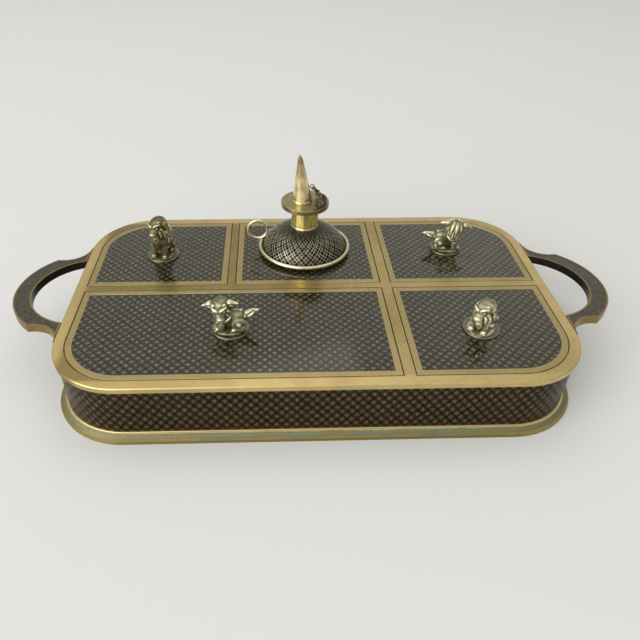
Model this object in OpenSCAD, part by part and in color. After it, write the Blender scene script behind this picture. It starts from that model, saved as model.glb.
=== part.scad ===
// Enamelled brass desk inkstand: a low tray with five lift-off lids, two loop
// handles, four guardian-lion knobs and a small finger lamp with a chained snuffer.
// Millimetres. The origin is on the table, under the middle of the tray.
// X runs along the tray, from handle to handle, Y runs to the back and Z is up.

/* [Tray] */
// Length of the top frame, without the handles
tray_l = 300; // [270:1:340]
// Width of the top frame, front to back
tray_w = 180; // [166:1:210]
// Height from the table to the top of the frame
tray_h = 39.4; // [36:0.2:60]
// Radius of the frame's outer corners
corner_r = 41.5; // [34:0.5:46]
// Distance of the wall's outer face behind the frame's edge
wall_set = 1.8; // [1.2:0.1:3]
// Thickness of the brass wall
wall_t = 1.2; // [0.8:0.1:1.6]
// Thickness of the enamel on the wall
wall_enamel_t = 0.8; // [0.4:0.1:1]
// Thickness of the floor sheet
floor_t = 1.2; // [0.8:0.1:1.8]
// Thickness of the partitions between the compartments
partition_t = 1.2; // [0.8:0.1:2]

/* [Top frame] */
// Thickness of the cast frame
frame_t = 3.75; // [3.5:0.05:5]
// Width of the frame's border, from its edge to the lids
border_w = 6.5; // [6:0.1:9]
// Bevel along the frame's outer edges
frame_bevel = 0.5; // [0.2:0.1:0.8]
// Width of the ledge that carries a lid's edge
ledge_w = 2.5; // [1.5:0.1:3]
// Place of the front-to-back bar
main_bar_x = 46.9; // [40:0.1:54]
// Width of the front-to-back bar
main_bar_w = 6.2; // [5.5:0.1:9]
// Place of the bar along the tray
cross_bar_y = 1; // [-4:0.1:6]
// Width of the bar along the tray
cross_bar_w = 5.2; // [4.6:0.1:8]
// Place of the short bar at the rear left
rear_bar_x = -52; // [-58:0.1:-48]
// Width of the short bar at the rear left
rear_bar_w = 4.9; // [4.5:0.1:8]

/* [Foot moulding] */
// Height of the foot moulding
foot_h = 5.6; // [5:0.1:8]
// How far the foot flares out from the wall
foot_flare = 5; // [4:0.1:7]
// Height of the upright lip at the foot's outer edge
foot_lip_h = 1; // [0.6:0.1:1.6]
// Radius of the hollow curve between lip and bead
foot_hollow_r = 5; // [4.5:0.1:8]
// Radius of the bead along the foot's top
foot_bead_r = 0.5; // [0.3:0.05:0.7]
// Depth of the foot behind the wall's outer face
foot_depth = 7; // [5.5:0.1:9]
// Height of the seat for the floor sheet
floor_seat_h = 3; // [2:0.1:3.6]

/* [Lids] */
// Thickness of a lid's brass pan
lid_t = 2.2; // [1.8:0.1:2.8]
// Seam between a lid and the frame
lid_gap = 0.5; // [0.3:0.05:0.8]
// Width of the brass border round a lid's enamel
lid_border = 3.8; // [3:0.1:5]
// Thickness of a lid's enamel panel
enamel_t = 0.8; // [0.5:0.05:1]
// Height of the brass border above the enamel
enamel_drop = 0.15; // [0.05:0.05:0.3]
// Depth of the locating flange under a lid
flange_h = 4.5; // [3:0.1:6]
// Thickness of the locating flange
flange_t = 1.2; // [0.8:0.1:1.6]
// Clearance between a flange and the ledge
flange_gap = 0.4; // [0.3:0.05:0.8]

/* [Handles] */
// Radius of a handle's outer arc
handle_r = 45; // [43:0.5:47]
// Width of a handle's band
handle_band = 10.7; // [9:0.1:12]
// Distance of the arc's centre inside the frame's edge
handle_in = 8.5; // [7:0.1:10]
// Thickness of a handle
handle_t = 5.2; // [4.6:0.1:6.4]
// Radius of the hollow curve between a handle and the frame
handle_root_r = 16; // [14:0.5:18]
// Distance of a handle's root ends beyond its arc, along the tray's side
handle_root_l = 6; // [5:0.5:9]
// Width of the brass edge round a handle's enamel
handle_edge = 1.1; // [0.9:0.1:1.6]
// Depth of a handle's enamel
handle_enamel_t = 0.7; // [0.5:0.05:1]

/* [Lion knobs] */
// Height of a standing lion
lion_h = 20; // [17:0.5:22]
// Radius of a lion's round plate
plate_r = 11; // [10.5:0.1:12.5]
// Thickness of a lion's round plate
plate_t = 1.2; // [0.9:0.1:1.6]
// Bevel round the plate
plate_bevel = 0.4; // [0.2:0.1:0.6]
// Radius of the stud that holds a knob
stud_r = 1.5; // [1.2:0.1:2]
// Width of a nut across its flats
nut_w = 5.5; // [5:0.1:7]
// Thickness of a nut
nut_t = 2; // [1.6:0.1:2.4]
// Stud that shows below its nut
stud_end = 0.6; // [0.3:0.1:1]

/* [Lamp] */
// Place of the lamp along the tray
lamp_x = -3.4; // [-8:0.1:2]
// Place of the lamp, front to back
lamp_y = 47; // [42:0.1:50]
// Radius of the lamp's drip pan
pan_r = 31.5; // [30.5:0.1:32.5]
// Thickness of the drip pan's floor
pan_t = 1.2; // [0.9:0.1:1.5]
// Height of the rolled edge of the drip pan
pan_edge_h = 2.7; // [2.2:0.1:3]
// Gap between the rolled edge and the oil dome inside it
dome_gap = 0.25; // [0.1:0.05:0.4]
// Wall of the oil dome
dome_wall = 1.3; // [1:0.1:1.8]
// Height of the neck's lower end above the lid
neck_z = 18; // [15:0.1:19]
// Length of the neck
neck_h = 15.6; // [12:0.1:20]
// Outer radius of the neck
neck_r = 9.2; // [8.8:0.1:10]
// Wall of the neck
neck_wall = 1.5; // [1:0.1:1.6]
// Radius of the finger ring, to the middle of its wire
ring_r = 6.6; // [6.2:0.1:8]
// Radius of the finger ring's wire
ring_wire = 1; // [0.8:0.1:1.2]
// Place of the finger ring on the dome's curve, from 0 at its foot to 90 at its top
ring_seat = 28; // [20:1:36]
// Length of the lug between the dome and the finger ring
ring_lug_l = 1.1; // [0.6:0.1:2]

/* [Burner and snuffer] */
// Radius of the burner's round plate
burner_r = 15.8; // [15.2:0.1:17]
// Thickness of the burner's round plate
burner_t = 3; // [2:0.1:4]
// Depth of the plug below the burner's plate
plug_h = 8; // [6:0.1:10]
// Clearance between the plug and the neck
plug_gap = 0.3; // [0.2:0.05:0.5]
// Outer radius of the wick tube
wick_tube_r = 2; // [1.8:0.1:2.2]
// Height of the wick tube above the plate
wick_tube_h = 5; // [4:0.1:6]
// Wall of the wick tube
wick_tube_wall = 0.6; // [0.4:0.1:0.8]
// Length of the wick inside the oil dome
wick_drop = 17; // [14:0.5:19]
// Radius of the snuffer's open end
cone_r = 6.8; // [6.4:0.1:7.4]
// Radius of the snuffer at its shoulder
cone_top_r = 2.1; // [1.8:0.1:2.4]
// Height of the snuffer's shoulder
cone_h = 28; // [24:0.5:34]
// Height of the point above the shoulder
cone_tip_h = 4.4; // [3:0.1:6]
// Wall of the snuffer
cone_wall = 0.6; // [0.5:0.05:0.8]
// Sideways lean of the snuffer's point
cone_lean = 1.9; // [0:0.1:3]
// Distance that the snuffer stands to the left of the lamp's axis
cone_set = 1.8; // [0:0.1:2]
// Height of the chain's loop on the snuffer
loop_h = 10; // [9:0.1:11]
// Links in the chain
chain_links = 16; // [12:1:18]
// Radius of a chain link, to the middle of its wire
link_r = 1.3; // [1.2:0.05:1.4]
// Radius of the chain's wire
link_wire = 0.3; // [0.2:0.05:0.35]

/* [Ink pot] */
// Radius of the ink pot
pot_r = 19; // [16:0.5:22]
// Height of the ink pot
pot_h = 23; // [18:0.5:24]
// Wall of the ink pot
pot_wall = 2.4; // [2:0.1:3]

/* [Hidden] */
$fn = 96;
// Clearance of a piece that is soldered or cemented in its seat
fit = 0.05;
// Overlap that makes a cut run past a face
cut = 1;
// Thickness of the thin discs at a hull's ends
skin = 0.02;
// Radius of the snuffer's blunt point
cone_point_r = 0.2;
// Millimetres in one unit of the lions' drawing, which stands 20 units high
lion_unit = lion_h / 20;

BRASS = "#a08c5a";
BRIGHT_BRASS = "#b9a04e";
BRONZE = "#6f7358";
VERDIGRIS = "#7c8a74";
ENAMEL = "#3a3c36";
GLAZE = "#e6e4da";
COTTON = "#d8cfb8";

// The places of the five lids, as indexes into CELLS
FRONT_LEFT = 0;
FRONT_RIGHT = 1;
REAR_LEFT = 2;
REAR_CENTRE = 3;
REAR_RIGHT = 4;

field_x = tray_l / 2 - border_w;
field_y = tray_w / 2 - border_w;
main_left = main_bar_x - main_bar_w / 2;
main_right = main_bar_x + main_bar_w / 2;
cross_front = cross_bar_y - cross_bar_w / 2;
cross_back = cross_bar_y + cross_bar_w / 2;
rear_left = rear_bar_x - rear_bar_w / 2;
rear_right = rear_bar_x + rear_bar_w / 2;

// Each opening in the frame as [left, front, right, back]
CELLS = [
    [-field_x, -field_y, main_left, cross_front],
    [main_right, -field_y, field_x, cross_front],
    [-field_x, cross_back, rear_left, field_y],
    [rear_right, cross_back, main_left, field_y],
    [main_right, cross_back, field_x, field_y]
];

frame_z = tray_h - frame_t;
lid_z = tray_h - lid_t;
lid_top = tray_h - enamel_drop;
floor_top = floor_seat_h + floor_t;
wall_in = wall_set + wall_enamel_t + wall_t;
handle_z = tray_h - handle_t;
handle_root_y = handle_r + handle_root_l;
plate_z = lid_top + plate_t;
pan_z = lid_top;
dome_z = pan_z + pan_t;
neck_bottom = lid_top + neck_z;
neck_top = neck_bottom + neck_h;
burner_z = neck_top + burner_t;
bore_r = neck_r - neck_wall;
plug_r = bore_r - plug_gap;
wick_r = wick_tube_r - wick_tube_wall;

// The dome stands inside the pan's rolled edge. Its full curve rises so far that it
// meets the neck's outer face.
dome_r = pan_r - pan_edge_h - dome_gap;
dome_rise = (neck_bottom - dome_z) / sqrt(1 - pow(neck_r / dome_r, 2));

// The chain's middle line is followed from the snuffer's loop to the burner's eye:
// down beside the cone, round a bend onto the plate, round a turn and along the rim.
// Distances are from the lamp's axis, and heights are above the burner's plate.
hanging_links = 4;
link_pitch = 2 * link_r - 3 * link_wire;
link_roll = 45;
lie_h = link_r * sin(link_roll) + link_wire;
eye_h = link_r + link_wire;
eye_roll = -15;
bend_r = 3;
rim_r = burner_r - link_r - 2 * link_wire;
hang_slope = atan((cone_r - cone_top_r) / cone_h + cone_lean / (cone_h + cone_tip_h));
bend_h = lie_h + bend_r * (1 - sin(hang_slope));
loop_out = cone_side(loop_h) + link_r + link_wire + fit;
bend_out = loop_out + tan(hang_slope) * (loop_h - bend_h) + bend_r * cos(hang_slope);
turn_r = (pow(rim_r, 2) - pow(bend_out, 2)) / (2 * rim_r);
turn_at = -asin(turn_r / (rim_r - turn_r));

hang_l = (loop_h - bend_h) / cos(hang_slope);
bend_l = bend_r * arc(90 - hang_slope);
turn_l = turn_r * arc(90 - turn_at);

// ---------- Shared outlines ----------

// Rounded rectangle of the frame, drawn a given distance inside its edge
module tray_outline(inset) {
    l = tray_l - 2 * inset;
    w = tray_w - 2 * inset;
    r = corner_r - inset;
    square([l - 2 * r, w], center = true);
    square([l, w - 2 * r], center = true);
    for (x = [-1, 1], y = [-1, 1])
        translate([x * (l / 2 - r), y * (w / 2 - r)]) circle(r);
}

// One opening of the frame, drawn a given distance inside its edge
module cell_outline(i, inset) {
    c = CELLS[i];
    intersection() {
        tray_outline(border_w + inset);
        translate([c[0] + inset, c[1] + inset])
            square([c[2] - c[0] - 2 * inset, c[3] - c[1] - 2 * inset]);
    }
}

// Carries a profile round the tray. X of the profile points outwards from a line
// that lies a given distance inside the frame's edge, and its Y points up.
module around_tray(inset) {
    l = tray_l - 2 * inset;
    w = tray_w - 2 * inset;
    r = corner_r - inset;
    for (turn = [0, 180]) rotate([0, 0, turn]) {
        translate([0, w / 2, 0]) rotate([90, 0, 90])
            linear_extrude(l - 2 * r, center = true) children();
        translate([l / 2, 0, 0]) rotate([90, 0, 0])
            linear_extrude(w - 2 * r, center = true) children();
        translate([l / 2 - r, w / 2 - r, 0])
            rotate_extrude(angle = 90) translate([r, 0]) children();
        translate([-l / 2 + r, w / 2 - r, 0]) rotate([0, 0, 90])
            rotate_extrude(angle = 90) translate([r, 0]) children();
    }
}

// ---------- Tray ----------

// Section of the foot: lip, hollow curve and bead, with a seat for the floor sheet
module foot_profile() {
    bead_out = 2 * foot_bead_r;
    hollow_top = foot_h - 2 * foot_bead_r;
    chord = [foot_flare - bead_out, hollow_top - foot_lip_h];
    span = norm(chord);
    lift = sqrt(foot_hollow_r * foot_hollow_r - span * span / 4);
    middle = [(foot_flare + bead_out) / 2, (foot_lip_h + hollow_top) / 2];
    difference() {
        polygon([
            [-foot_depth, 0], [foot_flare, 0], [foot_flare, foot_lip_h],
            [bead_out, hollow_top], [foot_bead_r, foot_h],
            [-wall_enamel_t - wall_t, foot_h],
            [-wall_enamel_t - wall_t, floor_seat_h], [-foot_depth, floor_seat_h]
        ]);
        translate(middle + lift * [chord[1], chord[0]] / span) circle(foot_hollow_r);
    }
    translate([foot_bead_r, foot_h - foot_bead_r]) circle(foot_bead_r);
}

module foot_moulding() {
    color(VERDIGRIS) around_tray(wall_set) foot_profile();
}

module floor_sheet() {
    color(BRASS) translate([0, 0, floor_seat_h])
        linear_extrude(floor_t) tray_outline(wall_in + fit);
}

module wall_ring(inset, thickness) {
    translate([0, 0, foot_h]) linear_extrude(frame_z - foot_h) difference() {
        tray_outline(inset);
        tray_outline(inset + thickness);
    }
}

module side_wall() {
    color(BRASS) wall_ring(wall_set + wall_enamel_t, wall_t);
}

module side_enamel() {
    color(ENAMEL) wall_ring(wall_set, wall_enamel_t);
}

module top_frame() {
    color(BRASS) translate([0, 0, frame_z]) difference() {
        union() {
            around_tray(0) polygon([
                [-border_w, 0], [-frame_bevel, 0], [0, frame_bevel],
                [0, frame_t - frame_bevel], [-frame_bevel, frame_t], [-border_w, frame_t]
            ]);
            linear_extrude(frame_t) tray_outline(border_w / 2);
        }
        for (i = [0 : len(CELLS) - 1]) {
            translate([0, 0, frame_t - lid_t]) linear_extrude(lid_t + cut) cell_outline(i, 0);
            translate([0, 0, -cut]) linear_extrude(frame_t + 2 * cut) cell_outline(i, ledge_w);
        }
    }
}

// A partition stands on the floor, under the middle of a bar
module partition(from, to) {
    x = min(from[0], to[0]);
    y = min(from[1], to[1]);
    long = [abs(to[0] - from[0]), abs(to[1] - from[1])];
    side = [long[0] > long[1] ? 0 : partition_t, long[0] > long[1] ? partition_t : 0];
    color(BRASS) translate([x - side[0] / 2, y - side[1] / 2, floor_top])
        cube([long[0] + side[0], long[1] + side[1], frame_z - floor_top]);
}

inner_x = tray_l / 2 - wall_in;
inner_y = tray_w / 2 - wall_in;
cross_half = partition_t / 2 + fit;

module cross_partition() {
    partition([-inner_x + fit, cross_bar_y], [inner_x - fit, cross_bar_y]);
}

module main_partition() {
    partition([main_bar_x, -inner_y + fit], [main_bar_x, cross_bar_y - cross_half]);
    partition([main_bar_x, cross_bar_y + cross_half], [main_bar_x, inner_y - fit]);
}

module rear_partition() {
    partition([rear_bar_x, cross_bar_y + cross_half], [rear_bar_x, inner_y - fit]);
}

// ---------- Handles ----------

// Plan of the right handle, drawn a given distance inside its edge. The band is a
// ring that runs into the frame through two hollow curves, with a cusp at each.
module handle_plan(inset) {
    edge = tray_l / 2;
    centre = edge - handle_in;
    difference() {
        union() {
            translate([centre, 0]) circle(handle_r - inset);
            translate([edge, -handle_root_y]) square([handle_root_r, 2 * handle_root_y]);
        }
        translate([centre, 0]) circle(handle_r - handle_band + inset);
        for (y = [-handle_root_y, handle_root_y])
            translate([edge + handle_root_r, y]) circle(handle_root_r + inset);
        translate([edge + inset - tray_l, -tray_w / 2]) square([tray_l, tray_w]);
    }
}

module handle(side) {
    edge = tray_l / 2;
    root_in = sqrt(pow(handle_r - handle_band, 2) - pow(handle_in, 2));
    root_out = tray_w / 2 - corner_r;
    mirror([side < 0 ? 1 : 0, 0, 0]) color(BRASS) {
        difference() {
            translate([0, 0, handle_z]) linear_extrude(handle_t) handle_plan(0);
            translate([0, 0, tray_h - handle_enamel_t])
                linear_extrude(handle_enamel_t + cut) handle_plan(handle_edge);
        }
        // A tongue under the frame's edge joins each root to the wall
        for (turn = [0, 1]) mirror([0, turn, 0])
            translate([edge - wall_set, root_in + 1, handle_z])
                cube([wall_set + 1, root_out - root_in - 2, frame_z - handle_z]);
    }
}

module handle_enamel(side) {
    mirror([side < 0 ? 1 : 0, 0, 0]) color(ENAMEL)
        translate([0, 0, tray_h - handle_enamel_t])
            linear_extrude(handle_enamel_t - enamel_drop) handle_plan(handle_edge + fit);
}

// ---------- Ink pot ----------

pot_x = (main_bar_x + partition_t / 2) + pot_r + 6;
pot_y = (cross_bar_y + field_y) / 2;
pot_foot_r = pot_r - 3;

module ink_pot() {
    mouth_r = pot_r - 4;
    color(GLAZE) translate([pot_x, pot_y, floor_top]) rotate_extrude() polygon([
        [0, 0], [pot_foot_r, 0], [pot_r, 3], [pot_r, pot_h - 5], [mouth_r, pot_h - 1.5],
        [mouth_r, pot_h], [mouth_r - pot_wall, pot_h], [mouth_r - pot_wall, pot_h - 2.5],
        [pot_r - pot_wall, pot_h - 6], [pot_r - pot_wall, 4], [pot_foot_r - pot_wall, 3], [0, 3]
    ]);
}

// ---------- Lids ----------

knob_hole_r = stud_r + fit;

function cell_middle(i) = [(CELLS[i][0] + CELLS[i][2]) / 2, (CELLS[i][1] + CELLS[i][3]) / 2];

// Middle of a lid's knob, from the middle of the lid
KNOB_SHIFT = [[-0.4, 1.3], [-1.2, -1.6], [-0.8, -2.6], [0, 0], [-1.8, 1.8]];

function knob_at(i) = cell_middle(i) + KNOB_SHIFT[i];

// A lid's brass pan: a shallow tray for the enamel, with a locating flange below
module lid(i, knob = true) {
    flange_in = ledge_w + flange_gap;
    color(BRASS) difference() {
        union() {
            translate([0, 0, lid_z]) linear_extrude(lid_t) cell_outline(i, lid_gap);
            translate([0, 0, lid_z - flange_h]) linear_extrude(flange_h + fit) difference() {
                cell_outline(i, flange_in);
                cell_outline(i, flange_in + flange_t);
            }
        }
        translate([0, 0, lid_top - enamel_t])
            linear_extrude(enamel_t + cut) cell_outline(i, lid_gap + lid_border);
        if (knob) translate([knob_at(i)[0], knob_at(i)[1], lid_z - cut])
            cylinder(h = lid_t + 2 * cut, r = knob_hole_r);
    }
}

module lid_enamel(i, knob = true) {
    color(ENAMEL) translate([0, 0, lid_top - enamel_t]) difference() {
        linear_extrude(enamel_t) cell_outline(i, lid_gap + lid_border + fit);
        if (knob) translate([knob_at(i)[0], knob_at(i)[1], -cut])
            cylinder(h = enamel_t + 2 * cut, r = knob_hole_r);
    }
}

// The round plate that a lion stands on, with the stud that goes through the lid
module knob_plate(i) {
    stud_l = plate_t + lid_top - lid_z + nut_t + stud_end;
    color(BRONZE) translate([knob_at(i)[0], knob_at(i)[1], lid_top]) {
        cylinder(h = plate_t - plate_bevel, r = plate_r);
        translate([0, 0, plate_t - plate_bevel])
            cylinder(h = plate_bevel, r1 = plate_r, r2 = plate_r - plate_bevel);
        translate([0, 0, plate_t - stud_l]) cylinder(h = stud_l - plate_t + fit, r = stud_r);
    }
}

module knob_nut(i) {
    color(BRASS) translate([knob_at(i)[0], knob_at(i)[1], lid_z - nut_t]) difference() {
        cylinder(h = nut_t, r = nut_w / sqrt(3), $fn = 6);
        translate([0, 0, -cut]) cylinder(h = nut_t + 2 * cut, r = knob_hole_r);
    }
}

// ---------- Guardian lions ----------

// Each ball of a lion is [x, y, z, radius], from the middle of its plate.
// The lion faces -X with its head turned to -Y, and its tail stands up at +X.
module ball(b) {
    translate([b[0], b[1], b[2]]) sphere(b[3], $fn = b[3] > 3 ? 14 : b[3] > 1.5 ? 10 : 8);
}

module limb(a, b) {
    hull() {
        ball(a);
        ball(b);
    }
}

// sit is 0 for a lion on all fours and 1 for one that sits up
module lion_body(sit) {
    chest = [-3.6, 0, 9 + 3.4 * sit, 4.2];
    rump = [4.4, 0, 7.8 - 1.6 * sit, 4.4];
    limb(chest, rump);
    for (side = [-1, 1]) {
        thigh = [4.8, 2.9 * side, 5.6 - 0.6 * sit, 3.2];
        hock = [7, 3.9 * side, 2.3, 1.5];
        hind_paw = [3.2, 4.3 * side, 1.2, 1.5];
        shoulder = [-3.8, 2.6 * side, 8.2 + 2.4 * sit, 2.4];
        wrist = [-4.8, 3.3 * side, 2.2, 1.5];
        front_paw = [-6.8, 3.4 * side, 1.2, 1.6];
        limb(thigh, hock);
        limb(hock, hind_paw);
        limb(shoulder, wrist);
        limb(wrist, front_paw);
    }
}

module lion_head() {
    limb([0, 0, 0, 4.2], [0, -4.4, -1.6, 2.3]);
    limb([0, -1.6, -4, 1.8], [0, -4.4, -4.6, 1.4]);
    for (side = [-1, 1]) {
        ball([0.9 * side, -6, -0.4, 1]);
        ball([1.9 * side, -3.5, 2.2, 1.3]);
        limb([3.4 * side, 0.6, 2.2, 1.7], [8 * side, 1, 1.8, 0.6]);
    }
}

// Rows of curls over the back of the head and down the neck
module lion_mane(row_count = 3, curl_count = 5) {
    for (row = [0 : row_count - 1], k = [0 : curl_count - 1]) {
        swing = (k - (curl_count - 1) / 2) * 38;
        rotate([0, 0, swing]) ball([0, 3.6 + 0.3 * row, 1.9 - 2.7 * row, 1.5]);
    }
}

module lion_tail() {
    root = [8, 0, 7, 1.6];
    bend = [10.2, 0, 10.4, 1.5];
    limb(root, bend);
    limb(bend, [16.2, 0, 13.8, 0.4]);
    for (side = [-1, 1]) limb(bend, [12.6, 1.7 * side, 12, 0.8]);
}

module lion(i, turn, sit, look) {
    neck = [-3.8, -0.2, 11 + 6 * sit, 4.3];
    head_at = [-4.8, -0.8, 15.4 + 8.6 * sit];
    head_size = 1.1;
    color(BRONZE) translate([knob_at(i)[0], knob_at(i)[1], plate_z]) rotate([0, 0, turn])
        scale(lion_unit) intersection() {
            union() {
                lion_body(sit);
                limb(neck, [head_at[0], head_at[1], head_at[2] - 1.4, 4.2]);
                translate(head_at) rotate([0, 0, look]) scale(head_size) {
                    lion_head();
                    lion_mane();
                }
                lion_tail();
            }
            translate([-30, -30, 0]) cube(60);
        }
}

// ---------- Lamp ----------

module at_lamp(z) {
    translate([lamp_x, lamp_y, z]) children();
}

// Flat pan with a rolled edge, which catches drips and carries the dome
module lamp_pan() {
    roll = pan_edge_h / 2;
    color(BRIGHT_BRASS) at_lamp(pan_z) rotate_extrude() union() {
        square([pan_r - roll, pan_t]);
        translate([pan_r - roll, roll]) circle(roll);
    }
}

// Quarter ellipse from the foot of the dome to its top, as a list of points
function dome_curve(radius, rise, steps = 20) =
    [for (k = [0 : steps]) [radius * cos(90 * k / steps), rise * sin(90 * k / steps)]];

module lamp_dome() {
    hole_h = dome_rise + 2 * cut;
    color(ENAMEL) at_lamp(dome_z) difference() {
        rotate_extrude() polygon(concat([[0, 0]], dome_curve(dome_r, dome_rise)));
        translate([0, 0, -cut]) rotate_extrude() polygon(concat(
            [[0, 0], [dome_r - dome_wall, 0]],
            [for (p = dome_curve(dome_r - dome_wall, dome_rise - dome_wall)) p + [0, cut]]
        ));
        translate([0, 0, -cut]) cylinder(h = hole_h, r = bore_r);
        translate([0, 0, neck_bottom - dome_z]) cylinder(h = dome_rise, r = dome_r);
    }
}

module lamp_neck() {
    color(BRIGHT_BRASS) at_lamp(neck_bottom) difference() {
        cylinder(h = neck_h, r = neck_r);
        translate([0, 0, -cut]) cylinder(h = neck_h + 2 * cut, r = bore_r);
    }
}

// A wire ring on a short lug that stands square to the dome's curve
module finger_ring() {
    seat = [dome_r * cos(ring_seat), dome_rise * sin(ring_seat)];
    slope = atan2(dome_r * sin(ring_seat), dome_rise * cos(ring_seat));
    out = ring_lug_l + ring_wire + ring_r;
    color(BRIGHT_BRASS) at_lamp(dome_z) mirror([1, 0, 0])
        translate([seat[0], 0, seat[1]]) rotate([0, -slope, 0]) {
            translate([out, 0, 0]) rotate([90, 0, 0])
                rotate_extrude() translate([ring_r, 0]) circle(ring_wire);
            translate([fit, 0, 0]) rotate([0, 90, 0])
                cylinder(h = ring_lug_l + ring_wire, r = 1.2 * ring_wire);
        }
}

// ---------- Burner ----------

module burner_plate() {
    color(BRONZE) at_lamp(neck_top) difference() {
        union() {
            cylinder(h = burner_t, r = burner_r);
            translate([0, 0, -plug_h]) cylinder(h = plug_h + fit, r = plug_r);
        }
        translate([0, 0, -plug_h - cut]) cylinder(h = plug_h + cut, r = plug_r - wick_tube_wall);
        cylinder(h = burner_t + cut, r = wick_tube_r + fit);
    }
}

module wick_tube() {
    tube_h = plug_h + burner_t + wick_tube_h;
    color(BRIGHT_BRASS) at_lamp(neck_top - plug_h) difference() {
        cylinder(h = tube_h, r = wick_tube_r);
        translate([0, 0, -cut]) cylinder(h = tube_h + 2 * cut, r = wick_r);
    }
}

module wick() {
    above = 1;
    wick_h = wick_drop + plug_h + burner_t + wick_tube_h + above;
    color(COTTON) at_lamp(neck_top - plug_h - wick_drop) cylinder(h = wick_h, r = wick_r - fit);
}

// ---------- Snuffer ----------

// Skewed cone between two radii, as a hull of its two ends
module skew_cone(r1, r2, h, shift) {
    hull() {
        cylinder(h = skin, r = r1, $fn = 40);
        translate([shift, 0, h - skin]) cylinder(h = skin, r = r2, $fn = 40);
    }
}

module snuffer_cone() {
    lean = -cone_lean * cone_h / (cone_h + cone_tip_h);
    color(BRIGHT_BRASS) at_lamp(burner_z) translate([-cone_set, 0, 0]) difference() {
        union() {
            skew_cone(cone_r, cone_top_r, cone_h, lean);
            translate([lean, 0, cone_h - skin])
                skew_cone(cone_top_r, cone_point_r, cone_tip_h, -cone_lean - lean);
        }
        translate([0, 0, -skin])
            skew_cone(cone_r - cone_wall, cone_top_r - cone_wall, cone_h - cone_wall, lean);
    }
}

// How far the cone's side stands out from the lamp's axis, at a height on its right
function cone_side(h) = cone_r - (cone_r - cone_top_r) * h / cone_h
    - cone_lean * h / (cone_h + cone_tip_h) - cone_set;

// ---------- Chain ----------

function arc(angle) = angle * PI / 180;
function angle(arc) = arc * 180 / PI;

// Each stretch gives the place and direction, as [[x, y, z], polar angle, azimuth],
// of the point that lies a distance s along it
function on_hang(s) =
    [[loop_out + s * sin(hang_slope), 0, loop_h - s * cos(hang_slope)], hang_slope, 180];
function on_bend(s) = let(polar = hang_slope + angle(s / bend_r))
    [[bend_out - bend_r * cos(polar), 0, lie_h + bend_r * (1 - sin(polar))], polar, 180];
function on_turn(s) = let(
    azimuth = 180 - angle(s / turn_r),
    middle = (rim_r - turn_r) * [cos(turn_at), sin(turn_at)]
) [concat(middle + turn_r * [sin(azimuth), -cos(azimuth)], lie_h), 90, azimuth];
function on_rim(s) = let(at = turn_at - angle(s / rim_r))
    [[rim_r * cos(at), rim_r * sin(at), lie_h], 90, at + 90];
function on_chain(s) =
    s < hang_l ? on_hang(s)
    : s < hang_l + bend_l ? on_bend(s - hang_l)
    : s < hang_l + bend_l + turn_l ? on_turn(s - hang_l - bend_l)
    : on_rim(s - hang_l - bend_l - turn_l);

// One ring of the chain, on edge to its direction and rolled about it
module link(n, roll) {
    place = on_chain(n * link_pitch);
    translate(place[0]) rotate([0, place[1], place[2]]) rotate([90, 0, 0])
        rotate([0, roll, 0]) rotate_extrude() translate([link_r, 0]) circle(link_wire);
}

// Links lean the other way from the ones they hang in
module links(from, to) {
    color(BRONZE) at_lamp(burner_z) for (n = [from : to])
        link(n, n % 2 == 0 ? link_roll : -link_roll);
}

// The eye on the plate and the loop on the cone hold the chain's two ends
module chain_eye() {
    color(BRONZE) at_lamp(burner_z + eye_h - lie_h) link(chain_links + 1, eye_roll);
}

module snuffer_loop() {
    color(BRIGHT_BRASS) at_lamp(burner_z) translate([loop_out, 0, loop_h])
        rotate([90, 0, 0]) rotate_extrude() translate([link_r, 0]) circle(link_wire);
}

// The chain starts one link short of the hanging ones, so that the snuffer lifts off
module lamp_chain() {
    links(hanging_links + 2, chain_links);
}

module snuffer_links() {
    links(1, hanging_links);
}

// ---------- Assembly ----------

foot_moulding();
floor_sheet();
side_wall();
side_enamel();
top_frame();
cross_partition();
main_partition();
rear_partition();
handle(-1);  // handle_left
handle(1);  // handle_right
handle_enamel(-1);  // handle_enamel_left
handle_enamel(1);  // handle_enamel_right
ink_pot();
lid(FRONT_LEFT);  // lid_front_left
lid_enamel(FRONT_LEFT);  // enamel_front_left
knob_plate(FRONT_LEFT);  // plate_front_left
lion(FRONT_LEFT, turn = 0, sit = 0, look = 0);  // lion_front_left
knob_nut(FRONT_LEFT);  // nut_front_left
lid(FRONT_RIGHT);  // lid_front_right
lid_enamel(FRONT_RIGHT);  // enamel_front_right
knob_plate(FRONT_RIGHT);  // plate_front_right
lion(FRONT_RIGHT, turn = 85, sit = 0, look = 0);  // lion_front_right
knob_nut(FRONT_RIGHT);  // nut_front_right
lid(REAR_LEFT);  // lid_rear_left
lid_enamel(REAR_LEFT);  // enamel_rear_left
knob_plate(REAR_LEFT);  // plate_rear_left
lion(REAR_LEFT, turn = 80, sit = 1, look = -75);  // lion_rear_left
knob_nut(REAR_LEFT);  // nut_rear_left
lid(REAR_RIGHT);  // lid_rear_right
lid_enamel(REAR_RIGHT);  // enamel_rear_right
knob_plate(REAR_RIGHT);  // plate_rear_right
lion(REAR_RIGHT, turn = 176, sit = 0, look = 0);  // lion_rear_right
knob_nut(REAR_RIGHT);  // nut_rear_right
lid(REAR_CENTRE, knob = false);  // lid_rear_centre
lid_enamel(REAR_CENTRE, knob = false);  // enamel_rear_centre
lamp_pan();
lamp_dome();
lamp_neck();
finger_ring();
burner_plate();
wick_tube();
wick();
chain_eye();
lamp_chain();
snuffer_cone();
snuffer_loop();
snuffer_links();
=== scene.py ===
"""Dresses the desk inkstand: enamelled brass tray, lids, lion knobs and finger lamp.

Lengths in this file are metres unless a name ends in _mm. X runs along the tray,
Y to the back and Z up, with the origin on the table under the middle of the tray.
"""

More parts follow.
